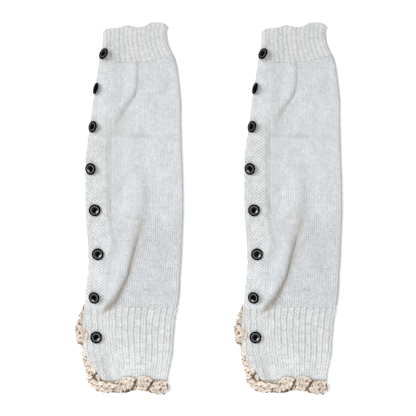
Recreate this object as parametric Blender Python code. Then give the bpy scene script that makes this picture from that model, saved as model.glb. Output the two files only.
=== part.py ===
"""A pair of knitted leg warmers, laid flat side by side and seen from above.

Each warmer is a flattened knitted tube. Its pieces are a ribbed top cuff, a plain leg, a ribbed
bottom cuff, a button placket that closes the tube along its left side and wraps round that
fold, eight domed-rim buttons sewn to the placket, and a strip of crocheted lace round the
bottom hem and a little way up the side. The underside is flat, because it rests on a table.

All sizes are in millimetres until a mesh is made. "Across" runs to the right from the middle
of a warmer, "up" runs from the hem with the lace towards the top cuff, and "height" is above
the table.
"""
import math

import bmesh
import bpy
import numpy as np

# Driving dimensions of the pair
PAIR_SPACING = 178.1
MILLIMETRE = 0.001
SEAM_GAP = 0.3

# Thickness of each knitted wall, and the height of the flattened tube over the table
LEG_WALL = 2.2
LEG_HEIGHT = 5.6
CUFF_WALL = 2.0
CUFF_HEIGHT = 5.0
PLACKET_WALL = 3.0
BACK_SEAM_AT = -15.5

# Ribs of the cuffs: each has two raised columns and one sunk column of points. They go on
# round the right fold, and stop short of the table.
RIB_HEIGHT = 0.9
TOP_CUFF_RIBS = 12
BOTTOM_CUFF_RIBS = 11
COLUMNS_PER_RIB = 3
CUFF_FOLD_RAISED = (True, True, False, True, False, False)

# Buttons
BUTTON_DIAMETER = 13.2
BUTTON_SIDES = 16
BUTTON_PROFILE = (
    # share of the radius, height over the button's back
    (0.80, 0.0),
    (1.00, 0.9),
    (0.90, 2.2),
    (0.66, 1.9),
    (0.40, 1.1),
)
BUTTON_DISH_CENTRE = 0.9

# Lace
LACE_WALL = 1.5
LACE_TUCK = 0.3

# Outline of the flattened tube, a row for each section.
# "crown" is the height of the rounded left fold, "seam" the height where placket meets leg.
OUTLINE_COLUMNS = ("up", "left", "right", "crown", "seam")
OUTLINE = (
    (208.0, -29.5, 41.0, 7.0, 5.6),
    (198.0, -29.7, 41.3, 7.6, 6.0),
    (186.0, -29.6, 42.8, 9.0, 6.8),
    (177.0, -31.3, 46.0, 9.4, 7.2),
    (168.0, -33.0, 50.9, 9.6, 7.4),
    (155.0, -34.7, 54.1, 9.6, 7.6),
    (137.0, -37.3, 56.3, 9.6, 7.6),
    (114.0, -41.0, 58.2, 9.6, 7.6),
    (96.0, -42.8, 58.1, 9.4, 7.6),
    (78.0, -45.3, 58.6, 9.2, 7.6),
    (52.0, -48.1, 59.4, 8.8, 7.6),
    (20.0, -48.3, 60.5, 8.4, 7.4),
    (-2.0, -48.2, 60.6, 8.2, 7.4),
    (-24.0, -46.4, 59.7, 8.0, 7.6),
    (-40.0, -45.4, 59.0, 8.0, 7.8),
    (-57.0, -44.8, 58.3, 8.0, 7.8),
    (-74.0, -46.0, 57.1, 8.2, 7.8),
    (-92.0, -47.8, 56.4, 8.4, 7.6),
    (-110.0, -49.3, 54.2, 8.2, 7.2),
    (-125.0, -50.3, 50.8, 7.8, 6.6),
    (-134.0, -51.2, 49.8, 7.6, 6.4),
    (-148.0, -51.0, 48.8, 7.6, 6.2),
    (-159.0, -50.4, 48.2, 7.6, 6.0),
    (-168.0, -45.8, 47.0, 7.4, 5.8),
    (-177.0, -41.0, 45.5, 7.2, 5.6),
    (-185.0, -34.5, 44.0, 7.0, 5.4),
    (-195.0, -28.5, 42.6, 6.8, 5.4),
)

# Seam between the placket and the front of leg and cuffs, straight between its rows
PLACKET_SEAM = (
    # up, across
    (210.0, -20.2),
    (165.0, -20.2),
    (93.0, -21.3),
    (3.0, -21.3),
    (-24.0, -17.2),
    (-40.0, -15.8),
    (-57.0, -21.5),
    (-74.0, -25.4),
    (-92.0, -27.4),
    (-110.0, -28.6),
    (-134.0, -28.2),
    (-159.0, -26.0),
    (-196.0, -17.6),
)

# Hems and seams: how far up each lies at a share of the way from the left to the right fold
LINE_COLUMNS = ("share", "up")
TOP_HEM = (
    (0.00, 198.0),
    (0.08, 201.0),
    (0.25, 202.5),
    (0.38, 205.0),
    (0.54, 202.8),
    (0.68, 205.0),
    (0.77, 208.2),
    (0.93, 208.2),
    (1.00, 204.0),
)
TOP_SEAM = (
    (0.00, 165.0),
    (0.20, 163.0),
    (0.45, 162.9),
    (0.60, 163.8),
    (0.80, 166.8),
    (1.00, 171.2),
)
BOTTOM_SEAM = (
    (0.00, -111.5),
    (0.20, -115.6),
    (0.32, -113.2),
    (0.50, -112.0),
    (1.00, -112.5),
)
BOTTOM_HEM = (
    (0.00, -193.0),
    (0.15, -194.3),
    (1.00, -193.8),
)

# The fold that runs down the front of the leg, a row for each section. Near the top it is a
# narrow crease, below the middle the cloth beside the placket swells and drops off at it.
# "swell" is the rise on its left, "dip" the fall on its right, "reach" the swell's width.
FOLD_COLUMNS = ("up", "across", "swell", "dip", "reach")
FOLD = (
    (172.0, 9.7, 0.0, 0.0, 10.0),
    (152.0, 9.7, 0.3, 0.3, 10.0),
    (140.0, 9.4, 0.9, 0.6, 11.0),
    (124.0, 3.9, 1.2, 0.7, 12.0),
    (104.0, -7.8, 1.0, 0.6, 14.0),
    (95.0, -12.0, 0.5, 0.3, 16.0),
    (75.0, 0.0, 0.0, 0.0, 20.0),
    (50.0, 14.0, 0.0, 0.0, 26.0),
    (28.0, 20.7, 0.2, 0.1, 34.0),
    (4.0, 18.7, 0.9, 0.3, 40.0),
    (-16.0, 12.8, 1.5, 0.5, 44.0),
    (-36.0, 7.7, 2.1, 0.6, 46.0),
    (-64.0, 1.6, 2.3, 0.7, 46.0),
    (-81.0, -3.0, 2.3, 0.7, 46.0),
    (-98.0, -12.1, 2.3, 0.7, 46.0),
    (-116.0, -21.0, 1.8, 0.5, 46.0),
)
FOLD_STEP = 3.6
FOLD_CLEARANCE = 6.0
DIP_WIDTH = 3.4
SEAM_RISE_REACH = 18.0

# Buttons, from the top cuff down. "tilt" is how far the face turns off upright towards the
# left fold, "lean" turns that direction towards the top cuff, "slide" moves a button along its
# own face from the fold's round, away from the table.
BUTTONS = (
    # up, across, tilt, lean, slide
    (172.5, -28.3, 46.0, 28.0, 1.6),
    (133.4, -37.1, 68.0, 10.0, 0.9),
    (90.9, -40.5, 42.0, 8.0, 1.8),
    (43.7, -43.0, 20.0, 0.0, 0.0),
    (-2.9, -38.3, 3.0, 0.0, 0.0),
    (-52.2, -34.7, 3.0, 0.0, 0.0),
    (-100.8, -39.2, 10.0, 0.0, 0.0),
    (-145.0, -36.1, 4.0, 0.0, 0.0),
)
STEEP_TILT = 30.0
SEATING_ROUNDS = 8

# Lace along the front of the bottom hem, from the left side round the corner to the right
# fold, a row for each lobe's edge or middle. The inner edge is sewn to the knit, the outer
# edge hangs free. Heights are of the lace's underside.
HEM_LACE = (
    # inner edge across, up, height, and outer edge across, up, height
    (-50.9, -160.5, 0.1, -52.4, -159.6, 0.1),
    (-49.4, -164.5, 0.1, -52.6, -164.5, 0.9),
    (-47.4, -168.5, 0.1, -51.6, -169.2, 0.1),
    (-44.9, -172.0, 0.1, -52.2, -173.5, 1.2),
    (-42.6, -176.5, 0.1, -51.2, -178.5, 0.4),
    (-39.8, -181.0, 0.1, -49.6, -184.5, 1.6),
    (-35.4, -187.2, 0.1, -48.8, -190.0, 0.2),
    (-31.6, -194.2, 0.1, -47.2, -196.4, 1.4),
    (-27.0, -194.8, 2.2, -43.0, -201.6, 0.3),
    (-22.0, -195.2, 3.4, -36.6, -204.6, 2.0),
    (-17.0, -195.2, 3.0, -27.0, -206.8, 2.0),
    (-12.0, -195.0, 4.6, -18.0, -206.0, 2.6),
    (-9.5, -195.0, 6.9, -11.0, -207.6, 2.0),
    (-6.5, -190.6, 6.9, -7.0, -205.4, 2.8),
    (-1.0, -188.6, 6.9, -1.0, -206.2, 3.6),
    (4.5, -190.4, 6.9, 4.4, -203.4, 2.0),
    (8.5, -191.8, 6.9, 9.0, -205.6, 2.0),
    (13.0, -188.0, 6.9, 13.5, -204.8, 3.8),
    (19.5, -188.0, 6.9, 19.0, -202.0, 2.4),
    (24.5, -191.4, 6.9, 24.0, -206.4, 2.0),
    (29.5, -191.6, 6.9, 29.0, -208.2, 3.4),
    (35.0, -192.2, 6.9, 35.0, -208.2, 2.4),
    (40.0, -192.6, 6.9, 40.5, -207.0, 2.0),
    (42.6, -192.6, 6.9, 44.6, -204.4, 2.8),
)
HEM_LACE_ROWS = (0.0, 0.28, 0.62, 1.0)
HEM_LACE_LEVEL = 0.375
HEM_LACE_CROWN = 0.9
LACE_REST = 0.1

# Lace along the hem's lower layer, flat on the table behind the front lace
BACK_LACE_LEFT = -19.0
BACK_LACE_RIGHT = 41.0
BACK_LACE_TOP = -194.7
BACK_LACE_DEPTH = 10.6
BACK_LACE_SCALLOPS = 7
BACK_LACE_SCALLOP_DEPTH = 1.4
BACK_LACE_COLUMNS_EACH = 3

# Lace up the left side, tucked beside the fold: how far out it reaches from the fold
SIDE_LACE = (
    # up, width, height of the free edge
    (-108.0, 1.2, 0.1),
    (-113.0, 2.6, 0.6),
    (-118.0, 5.4, 0.2),
    (-122.5, 6.6, 1.2),
    (-127.0, 7.6, 0.3),
    (-131.0, 8.7, 1.3),
    (-135.5, 9.55, 0.4),
    (-140.0, 9.3, 1.6),
    (-145.0, 8.2, 0.3),
    (-149.5, 7.0, 1.4),
    (-152.5, 4.6, 0.1),
)
SIDE_LACE_ROWS = (0.0, 0.5, 1.0)

# Finishes: base colour, roughness
FINISHES = {
    "white_knit": ((0.80, 0.81, 0.81), 0.92),
    "cream_lace": ((0.80, 0.69, 0.55), 0.90),
    "black_button": ((0.012, 0.012, 0.013), 0.16),
}

# Levels up the warmer at which the leg and the cuffs have a row of points
LEG_LEVELS = (
    153.0, 143.0, 133.0, 124.0, 114.0, 104.0, 93.0, 82.0, 68.0, 52.0, 37.0, 20.0, 3.0, -10.0,
    -24.0, -32.0, -40.0, -48.0, -57.0, -65.5, -74.0, -83.0, -92.0, -101.0, -110.0,
)
TOP_CUFF_LEVELS = (176.0, 189.0)
BOTTOM_CUFF_LEVELS = (-134.0, -148.0, -159.0, -177.0)
LEAST_ROW = 0.004

# Where the columns of points lie: on the leg's front as shares of the way to the fold and on
# from it, round each side fold in degrees above the level, and as shares of the underside
LEG_BEFORE_FOLD = (0.0, 0.4, 0.75)
LEG_AFTER_FOLD = (0.13, 0.33, 0.55, 0.77, 1.0)
LEG_FOLD_COLUMNS = 5
PLACKET_ROUND = (-90.0, -54.0, -18.0, 18.0, 54.0, 90.0)
PLACKET_FRONT = (0.5, 1.0)
UNDERSIDE = (1 / 3, 2 / 3, 1.0)
SETTLE_ROUNDS = 6


def read(table, names, column, at):
    """Read one column of a table at any place along its first column.

    A cubic joins each two rows. The slope at a row is the harmonic mean of the slopes on its
    two sides, or nought where they point opposite ways, so the curve never overshoots a row.
    """
    rows = np.array(sorted(table), dtype=float)
    place, value = rows[:, 0], rows[:, names.index(column)]
    rise = np.diff(value) / np.diff(place)
    before, after = rise[:-1], rise[1:]
    same_way = before * after > 0.0
    total = np.where(same_way, before + after, 1.0)
    slope = np.zeros_like(value)
    slope[1:-1] = np.where(same_way, 2.0 * before * after / total, 0.0)
    slope[0], slope[-1] = rise[0], rise[-1]
    at = np.clip(np.asarray(at, dtype=float), place[0], place[-1])
    left = np.clip(np.searchsorted(place, at) - 1, 0, len(place) - 2)
    width = place[left + 1] - place[left]
    t = (at - place[left]) / width
    return (
        (2 * t**3 - 3 * t**2 + 1) * value[left]
        + (t**3 - 2 * t**2 + t) * width * slope[left]
        + (3 * t**2 - 2 * t**3) * value[left + 1]
        + (t**3 - t**2) * width * slope[left + 1]
    )


def outline(column, up):
    """One size of the flattened tube's section at a place up the warmer."""
    return read(OUTLINE, OUTLINE_COLUMNS, column, up)


def seam_at(up):
    """Place across of the seam between the placket and the leg's front."""
    rows = np.array(sorted(PLACKET_SEAM))
    return np.interp(up, rows[:, 0], rows[:, 1])


def ease(value):
    """A soft step from nought to one as the value runs from nought to one."""
    value = np.clip(value, 0.0, 1.0)
    return value * value * (3.0 - 2.0 * value)


def between_lines(low, high, share, fraction):
    """Place up, a fraction of the way from one hem or seam line to another."""
    bottom = read(low, LINE_COLUMNS, "up", share)
    top = read(high, LINE_COLUMNS, "up", share)
    return bottom + (top - bottom) * fraction


def fold_line(up):
    """Place across of the leg's fold, kept clear of the placket's seam."""
    clear = seam_at(up) + FOLD_CLEARANCE
    return np.maximum(read(FOLD, FOLD_COLUMNS, "across", up), clear)


def leg_height(across, up):
    """Height of the leg's front over the table.

    It falls from the placket's seam to the flat height within SEAM_RISE_REACH. On the left of
    the fold it swells instead, up to the fold's crest, and it drops off there into a dip.
    """
    fold_at = fold_line(up)
    rise = outline("seam", up) - LEG_HEIGHT
    from_seam = rise * ease(1.0 - (across - seam_at(up)) / SEAM_RISE_REACH)
    crest = ease((across - fold_at) / read(FOLD, FOLD_COLUMNS, "reach", up) + 1.0)
    drop = ease(0.5 - (across - fold_at) / FOLD_STEP)
    swell = read(FOLD, FOLD_COLUMNS, "swell", up) * crest * drop
    dip_place = (across - fold_at - FOLD_STEP / 2) / DIP_WIDTH
    dip = read(FOLD, FOLD_COLUMNS, "dip", up) * np.exp(-dip_place * dip_place)
    return LEG_HEIGHT + np.maximum(from_seam, swell) - dip


def cuff_height(across, up):
    """Height of a cuff's front, without its ribs: flat, but for the rise to the placket."""
    rise = outline("seam", up) - CUFF_HEIGHT
    return CUFF_HEIGHT + rise * ease(1.0 - (across - seam_at(up)) / SEAM_RISE_REACH)


def settle(low, high, fraction, place_across):
    """Find the points of one column of a wall, where a line up meets a place across.

    The line's height up depends on the place across, and that place on the height up, so the
    two are worked out in turns until they agree.
    """
    share = np.full_like(fraction, 0.5)
    for _ in range(SETTLE_ROUNDS):
        up = between_lines(low, high, share, fraction)
        across = place_across(up)
        left, right = outline("left", up), outline("right", up)
        share = np.clip((across - left) / (right - left), 0.0, 1.0)
    return across, up


def rows_at_levels(low, high, levels):
    """Fractions between two lines of rows whose points on the placket's seam are at the levels.

    Pieces on both sides of the seam have a row at each of its corners, so they never cross.
    """
    levels = np.array(sorted(levels))
    left, right = outline("left", levels), outline("right", levels)
    share = (seam_at(levels) - left) / (right - left)
    bottom = read(low, LINE_COLUMNS, "up", share)
    top = read(high, LINE_COLUMNS, "up", share)
    fraction = (levels - bottom) / (top - bottom)
    within = (fraction > LEAST_ROW) & (fraction < 1.0 - LEAST_ROW)
    return np.concatenate([[0.0], fraction[within], [1.0]])


def column_on_front(low, high, fraction, place_across, height_of, wall, raised):
    """Outer and inner points of a column on the front: the inside is a wall's thickness below."""
    across, up = settle(low, high, fraction, place_across)
    height = height_of(across, up)
    outer = np.stack([across, up, height + raised], axis=-1)
    inner = np.stack([across, up, height - wall], axis=-1)
    return outer, inner


def column_on_fold(low, high, fraction, side, degrees, height_of_fold, wall, raised):
    """Outer and inner points of a column on a side fold, which is half a circle in section.

    Side is +1 on the right and -1 on the left. The angle is +90 on top and -90 on the table.
    """
    edge = "right" if side > 0 else "left"
    turn = math.radians(degrees)

    points = []
    for depth, bump in ((0.0, raised), (wall, 0.0)):
        def place_across(up, depth=depth):
            radius = height_of_fold(up) / 2
            return outline(edge, up) - side * (radius - (radius - depth) * math.cos(turn))

        across, up = settle(low, high, fraction, place_across)
        radius = height_of_fold(up) / 2
        height = radius + (radius - depth + bump) * math.sin(turn)
        across = across + side * bump * math.cos(turn)
        points.append(np.stack([across, up, np.maximum(height, 0.0)], axis=-1))
    return points[0], points[1]


def column_on_table(low, high, fraction, place_across, wall):
    """Outer and inner points of a column on the underside, which lies flat on the table."""
    across, up = settle(low, high, fraction, place_across)
    outer = np.stack([across, up, np.zeros_like(up)], axis=-1)
    inner = np.stack([across, up, np.full_like(up, wall)], axis=-1)
    return outer, inner


def seam_side(up):
    """Edge of the leg and cuffs on the front, half a seam's gap from the placket."""
    return seam_at(up) + SEAM_GAP / 2


def right_start(height):
    """Where the front ends and the right fold's round begins."""
    return lambda up: outline("right", up) - height / 2


def panel_end_columns(low, high, fraction, height, wall, reliefs):
    """Columns round the right fold and back along the underside to the placket's back edge."""
    columns = []
    steps = len(reliefs)
    for number, raised in enumerate(reliefs, start=1):
        degrees = 90.0 - 180.0 * number / steps
        columns.append(column_on_fold(
            low, high, fraction, 1, degrees, lambda up: np.full_like(up, height), wall, raised))
    for part_way in UNDERSIDE:
        def place_across(up, part_way=part_way):
            start = outline("right", up) - height / 2
            return start + (BACK_SEAM_AT + SEAM_GAP / 2 - start) * part_way
        columns.append(column_on_table(low, high, fraction, place_across, wall))
    return columns


def closed_sheet(name, outer, inner):
    """Make a closed mesh from an outer and an inner grid of points joined along their borders."""
    rows, columns = outer.shape[:2]
    points = np.concatenate([outer.reshape(-1, 3), inner.reshape(-1, 3)]) * MILLIMETRE
    number = np.arange(rows * columns).reshape(rows, columns)
    under = number + rows * columns
    faces = []
    for row in range(rows - 1):
        for column in range(columns - 1):
            corners = [(row, column), (row, column + 1), (row + 1, column + 1), (row + 1, column)]
            faces.append([number[corner] for corner in corners])
            faces.append([under[corner] for corner in reversed(corners)])
    border = [(0, column) for column in range(columns)]
    border += [(row, columns - 1) for row in range(1, rows)]
    border += [(rows - 1, column) for column in range(columns - 2, -1, -1)]
    border += [(row, 0) for row in range(rows - 2, 0, -1)]
    for here, after in zip(border, border[1:] + border[:1]):
        faces.append([number[after], number[here], under[here], under[after]])
    mesh = bpy.data.meshes.new(name)
    mesh.from_pydata(points.tolist(), [], [[int(corner) for corner in face] for face in faces])
    shape = bmesh.new()
    shape.from_mesh(mesh)
    bmesh.ops.triangulate(shape, faces=shape.faces)
    bmesh.ops.recalc_face_normals(shape, faces=shape.faces)
    shape.to_mesh(mesh)
    shape.free()
    mesh.shade_smooth()
    mesh.set_sharp_from_angle(angle=math.radians(40.0))
    return mesh


def sheet_from_columns(name, columns):
    """Make a closed sheet from a list of columns, each an outer and an inner row of points."""
    outer = np.stack([column[0] for column in columns], axis=1)
    inner = np.stack([column[1] for column in columns], axis=1)
    return closed_sheet(name, outer, inner)


def seam_to_seam(low_gap, high_gap, low, high):
    """Move a piece's two end lines half a seam's gap inwards where it meets another piece."""
    moved_low = tuple((share, up + low_gap) for share, up in low)
    moved_high = tuple((share, up - high_gap) for share, up in high)
    return moved_low, moved_high


def make_leg():
    """The plain leg: columns follow the front fold, so its crest and foot stay sharp."""
    low, high = seam_to_seam(SEAM_GAP / 2, SEAM_GAP / 2, BOTTOM_SEAM, TOP_SEAM)
    fraction = rows_at_levels(low, high, LEG_LEVELS)
    places = []
    for share in LEG_BEFORE_FOLD:
        places.append(lambda up, share=share: seam_side(up) + share * (
            fold_line(up) - FOLD_STEP - seam_side(up)))
    for offset in (-FOLD_STEP, -FOLD_STEP / 2, 0.0, FOLD_STEP / 2, FOLD_STEP):
        places.append(lambda up, offset=offset: fold_line(up) + offset)
    for share in LEG_AFTER_FOLD:
        places.append(lambda up, share=share: fold_line(up) + FOLD_STEP + share * (
            right_start(LEG_HEIGHT)(up) - fold_line(up) - FOLD_STEP))
    columns = [
        column_on_front(low, high, fraction, place, leg_height, LEG_WALL, 0.0) for place in places]
    plain = [0.0] * LEG_FOLD_COLUMNS
    columns += panel_end_columns(low, high, fraction, LEG_HEIGHT, LEG_WALL, plain)
    return sheet_from_columns("leg", columns)


def make_cuff(name, low, high, levels, ribs):
    """A ribbed cuff: its ribs are raised in the outer points, over a plain inside."""
    fraction = rows_at_levels(low, high, levels)
    count = ribs * COLUMNS_PER_RIB
    columns = []
    for number in range(count + 1):
        raised = 0.0 if number % COLUMNS_PER_RIB == 0 else RIB_HEIGHT

        def place_across(up, share=number / count):
            start = seam_side(up)
            return start + share * (right_start(CUFF_HEIGHT)(up) - start)

        columns.append(
            column_on_front(low, high, fraction, place_across, cuff_height, CUFF_WALL, raised))
    reliefs = [RIB_HEIGHT if raised else 0.0 for raised in CUFF_FOLD_RAISED]
    columns += panel_end_columns(low, high, fraction, CUFF_HEIGHT, CUFF_WALL, reliefs)
    return sheet_from_columns(name, columns)


def make_placket():
    """The button placket, hem to hem: underside, left fold, and front up to its seam."""
    stations = sorted(set(row[0] for row in OUTLINE + PLACKET_SEAM))
    fraction = rows_at_levels(BOTTOM_HEM, TOP_HEM, stations)

    def crown(up):
        return outline("crown", up)

    def behind(up):
        return np.full_like(up, BACK_SEAM_AT - SEAM_GAP / 2)

    columns = [column_on_table(
        BOTTOM_HEM, TOP_HEM, fraction, behind, PLACKET_WALL)]
    for degrees in PLACKET_ROUND:
        columns.append(column_on_fold(
            BOTTOM_HEM, TOP_HEM, fraction, -1, degrees, crown, PLACKET_WALL, 0.0))
    for share in PLACKET_FRONT:
        columns.append(column_on_front(
            BOTTOM_HEM, TOP_HEM, fraction,
            lambda up, share=share: placket_across(up, share), placket_height, PLACKET_WALL, 0.0))
    return sheet_from_columns("placket", columns)


def placket_across(up, share):
    """Place across on the placket's front, from its round (0) to its seam (1)."""
    start = outline("left", up) + outline("crown", up) / 2
    return start + share * (seam_at(up) - SEAM_GAP / 2 - start)


def placket_height(across, up):
    """Height of the placket's front, which falls from its crown to its seam."""
    crown = outline("crown", up)
    start = outline("left", up) + crown / 2
    share = (across - start) / (seam_at(up) - start)
    return crown + (outline("seam", up) - crown) * ease(share)


def placket_skin(up):
    """Points of the placket's outside round one button, about half a millimetre apart."""
    ups = up + np.linspace(-0.5, 0.5, 25) * BUTTON_DIAMETER
    points = []
    for degrees in np.linspace(-20.0, 90.0, 23):
        radius = outline("crown", ups) / 2
        turn = math.radians(degrees)
        points.append(np.stack([
            outline("left", ups) + radius * (1.0 - math.cos(turn)),
            ups,
            radius * (1.0 + math.sin(turn)),
        ], axis=-1))
    for share in np.linspace(0.0, 1.0, 31):
        across = placket_across(ups, share)
        points.append(np.stack([across, ups, placket_height(across, ups)], axis=-1))
    return np.concatenate(points)


def make_button():
    """A round button: a flat back, a rounded rim and a dished face, turned about its axis."""
    shape = bmesh.new()
    rings = []
    for share, height in BUTTON_PROFILE:
        ring = []
        for side in range(BUTTON_SIDES):
            turn = 2 * math.pi * side / BUTTON_SIDES
            reach = share * BUTTON_DIAMETER / 2
            place = (reach * math.cos(turn), reach * math.sin(turn), height)
            ring.append(shape.verts.new([size * MILLIMETRE for size in place]))
        rings.append(ring)
    back = shape.verts.new((0.0, 0.0, 0.0))
    dish = shape.verts.new((0.0, 0.0, BUTTON_DISH_CENTRE * MILLIMETRE))
    for side in range(BUTTON_SIDES):
        after = (side + 1) % BUTTON_SIDES
        shape.faces.new((back, rings[0][after], rings[0][side]))
        shape.faces.new((dish, rings[-1][side], rings[-1][after]))
        for below, above in zip(rings, rings[1:]):
            shape.faces.new((below[side], below[after], above[after], above[side]))
    bmesh.ops.recalc_face_normals(shape, faces=shape.faces)
    mesh = bpy.data.meshes.new("button")
    shape.to_mesh(mesh)
    shape.free()
    mesh.shade_smooth()
    mesh.set_sharp_from_angle(angle=math.radians(50.0))
    return mesh


def button_frame(tilt, lean):
    """The button's own axes: two along its face, the first up its slope, and its normal."""
    tilt, lean = math.radians(tilt), math.radians(lean)
    toward = np.array([-math.cos(lean), math.sin(lean), 0.0])
    up_slope = -toward * math.cos(tilt) + np.array([0.0, 0.0, math.sin(tilt)])
    normal = toward * math.sin(tilt) + np.array([0.0, 0.0, math.cos(tilt)])
    return up_slope, np.cross(normal, up_slope), normal


def seat_button(up, across, tilt, lean, slide):
    """Middle of a button's back, laid on the placket with a seam's gap below it.

    A button with little tilt keeps its place in plan and comes down until its back clears the
    cloth. One on the left fold starts from the fold's round, along its own normal.
    """
    up_slope, _, normal = button_frame(tilt, lean)
    crown = float(outline("crown", up))
    if tilt < STEEP_TILT:
        middle = np.array([across, up, crown])
    else:
        fold_centre = np.array([float(outline("left", up)) + crown / 2, up, crown / 2])
        middle = fold_centre + normal * crown / 2 + up_slope * slide
    skin = placket_skin(up)
    (flat_share, _), (_, rim_height) = BUTTON_PROFILE[:2]
    flat, edge = flat_share * BUTTON_DIAMETER / 2, BUTTON_DIAMETER / 2
    for _ in range(SEATING_ROUNDS):
        offset = skin - middle
        over = offset @ normal
        beside = np.linalg.norm(offset - over[:, None] * normal, axis=1)
        room = rim_height * np.clip((beside - flat) / (edge - flat), 0.0, 1.0)
        rise = (over - room)[beside < edge].max() + SEAM_GAP
        if tilt < STEEP_TILT:
            middle = middle + np.array([0.0, 0.0, rise / normal[2]])
        else:
            middle = middle + normal * rise
    return middle


def make_hem_lace():
    """The front strip of lace: rows run from its sewn edge to its free edge, a little crowned.

    Where it lies on the table its sewn edge follows the outline, tucked under the fold's round.
    """
    table = np.array(HEM_LACE)
    inner_edge, outer_edge = table[:, :3].copy(), table[:, 3:]
    beside = inner_edge[:, 2] < LACE_WALL
    inner_edge[beside, 0] = outline("left", inner_edge[beside, 1]) + LACE_TUCK
    columns = []
    for share in HEM_LACE_ROWS:
        points = inner_edge + (outer_edge - inner_edge) * share
        fall = ease((share - HEM_LACE_LEVEL) / (1.0 - HEM_LACE_LEVEL))
        height = inner_edge[:, 2] + (outer_edge[:, 2] - inner_edge[:, 2]) * fall
        crown = HEM_LACE_CROWN * math.sin(math.pi * share) * (np.arange(len(points)) % 2)
        points[:, 2] = np.maximum(height, LACE_REST) + crown
        top = points + np.array([0.0, 0.0, LACE_WALL])
        columns.append((top, points))
    return sheet_from_columns("hem_lace", columns)


def make_back_lace():
    """The lower layer's strip of lace: flat on the table, with a scalloped free edge."""
    count = BACK_LACE_SCALLOPS * BACK_LACE_COLUMNS_EACH + 1
    across = np.linspace(BACK_LACE_LEFT, BACK_LACE_RIGHT, count)
    phase = math.pi * BACK_LACE_SCALLOPS * np.arange(count) / (count - 1)
    scallop = BACK_LACE_SCALLOP_DEPTH * np.abs(np.sin(phase))
    columns = []
    for share in (0.0, 1.0):
        up = BACK_LACE_TOP - share * (BACK_LACE_DEPTH + scallop)
        under = np.stack([across, up, np.zeros(count)], axis=-1)
        columns.append((under + np.array([0.0, 0.0, LACE_WALL]), under))
    return sheet_from_columns("back_lace", columns)


def make_side_lace():
    """Lace up the left side: it lies on the table beside the fold, with small ruffle waves."""
    table = np.array(SIDE_LACE)
    up, width, wave = table.T
    edge = outline("left", up) + LACE_TUCK
    columns = []
    for share in SIDE_LACE_ROWS:
        across = edge - share * width
        under = np.stack([across, up, wave * share], axis=-1)
        columns.append((under + np.array([0.0, 0.0, LACE_WALL]), under))
    return sheet_from_columns("side_lace", columns)


def make_material(name):
    """A plain finish: its colour and roughness, not metallic."""
    colour, roughness = FINISHES[name]
    material = bpy.data.materials.new(name)
    material.use_nodes = True
    shader = material.node_tree.nodes["Principled BSDF"]
    shader.inputs["Base Color"].default_value = (*colour, 1.0)
    shader.inputs["Roughness"].default_value = roughness
    shader.inputs["Metallic"].default_value = 0.0
    material.diffuse_color = (*colour, 1.0)
    return material


def place(name, mesh, finish, parent):
    """Put one piece into the scene under its warmer."""
    piece = bpy.data.objects.new(name, mesh)
    bpy.context.collection.objects.link(piece)
    piece.parent = parent
    if not mesh.materials:
        mesh.materials.append(finish)
    return piece


def place_buttons(side, mesh, finish, parent):
    """Sew the buttons on, each turned to lie on the placket where it sits."""
    for number, row in enumerate(BUTTONS, start=1):
        up, across, tilt, lean, slide = row
        piece = place(f"{side}_button_{number}", mesh, finish, parent)
        along, beside, normal = button_frame(tilt, lean)
        middle = seat_button(up, across, tilt, lean, slide)
        for axis in range(3):
            values = (along[axis], beside[axis], normal[axis], middle[axis] * MILLIMETRE)
            for column, value in enumerate(values):
                piece.matrix_basis[axis][column] = value


def build_pair():
    """Make every piece once, and place it in both warmers."""
    finishes = {name: make_material(name) for name in FINISHES}
    cloth = {
        "top_cuff": (make_cuff("top_cuff", *seam_to_seam(
            SEAM_GAP / 2, 0.0, TOP_SEAM, TOP_HEM), TOP_CUFF_LEVELS, TOP_CUFF_RIBS), "white_knit"),
        "leg": (make_leg(), "white_knit"),
        "bottom_cuff": (make_cuff("bottom_cuff", *seam_to_seam(
            0.0, SEAM_GAP / 2, BOTTOM_HEM, BOTTOM_SEAM), BOTTOM_CUFF_LEVELS, BOTTOM_CUFF_RIBS),
            "white_knit"),
        "placket": (make_placket(), "white_knit"),
        "hem_lace": (make_hem_lace(), "cream_lace"),
        "back_lace": (make_back_lace(), "cream_lace"),
        "side_lace": (make_side_lace(), "cream_lace"),
    }
    button = make_button()
    for side, direction in (("left", -1.0), ("right", 1.0)):
        warmer = bpy.data.objects.new(f"{side}_warmer", None)
        bpy.context.collection.objects.link(warmer)
        warmer.location.x = direction * PAIR_SPACING / 2 * MILLIMETRE
        for piece, (mesh, finish) in cloth.items():
            place(f"{side}_{piece}", mesh, finishes[finish], warmer)
        place_buttons(side, button, finishes["black_button"], warmer)


for leftover in list(bpy.data.objects):
    bpy.data.objects.remove(leftover, do_unlink=True)
build_pair()
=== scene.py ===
# %% [markdown]
# # A pair of knitted leg warmers, laid flat
#
# Two long white knitted tubes lie side by side on a pale table. Each has a ribbed cuff at both
# ends, a plain leg between them, a chunky button band down its left side with eight black
# buttons, and a strip of cream crocheted lace round the bottom hem and a little way up the side.
#
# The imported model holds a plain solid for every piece, and the pieces made here take their
# places: the hems and seams run on the same lines, the outline is drawn a little finer, and each
# button is set by its own solid. Each cloth piece becomes a thin closed shell whose stitches are
# real relief, the lace is worked from yarn, and the buttons are turned. All lengths below are in
# millimetres until a mesh is made.

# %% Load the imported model
import math
from collections.abc import Callable
from dataclasses import dataclass
from functools import partialmethod

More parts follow.
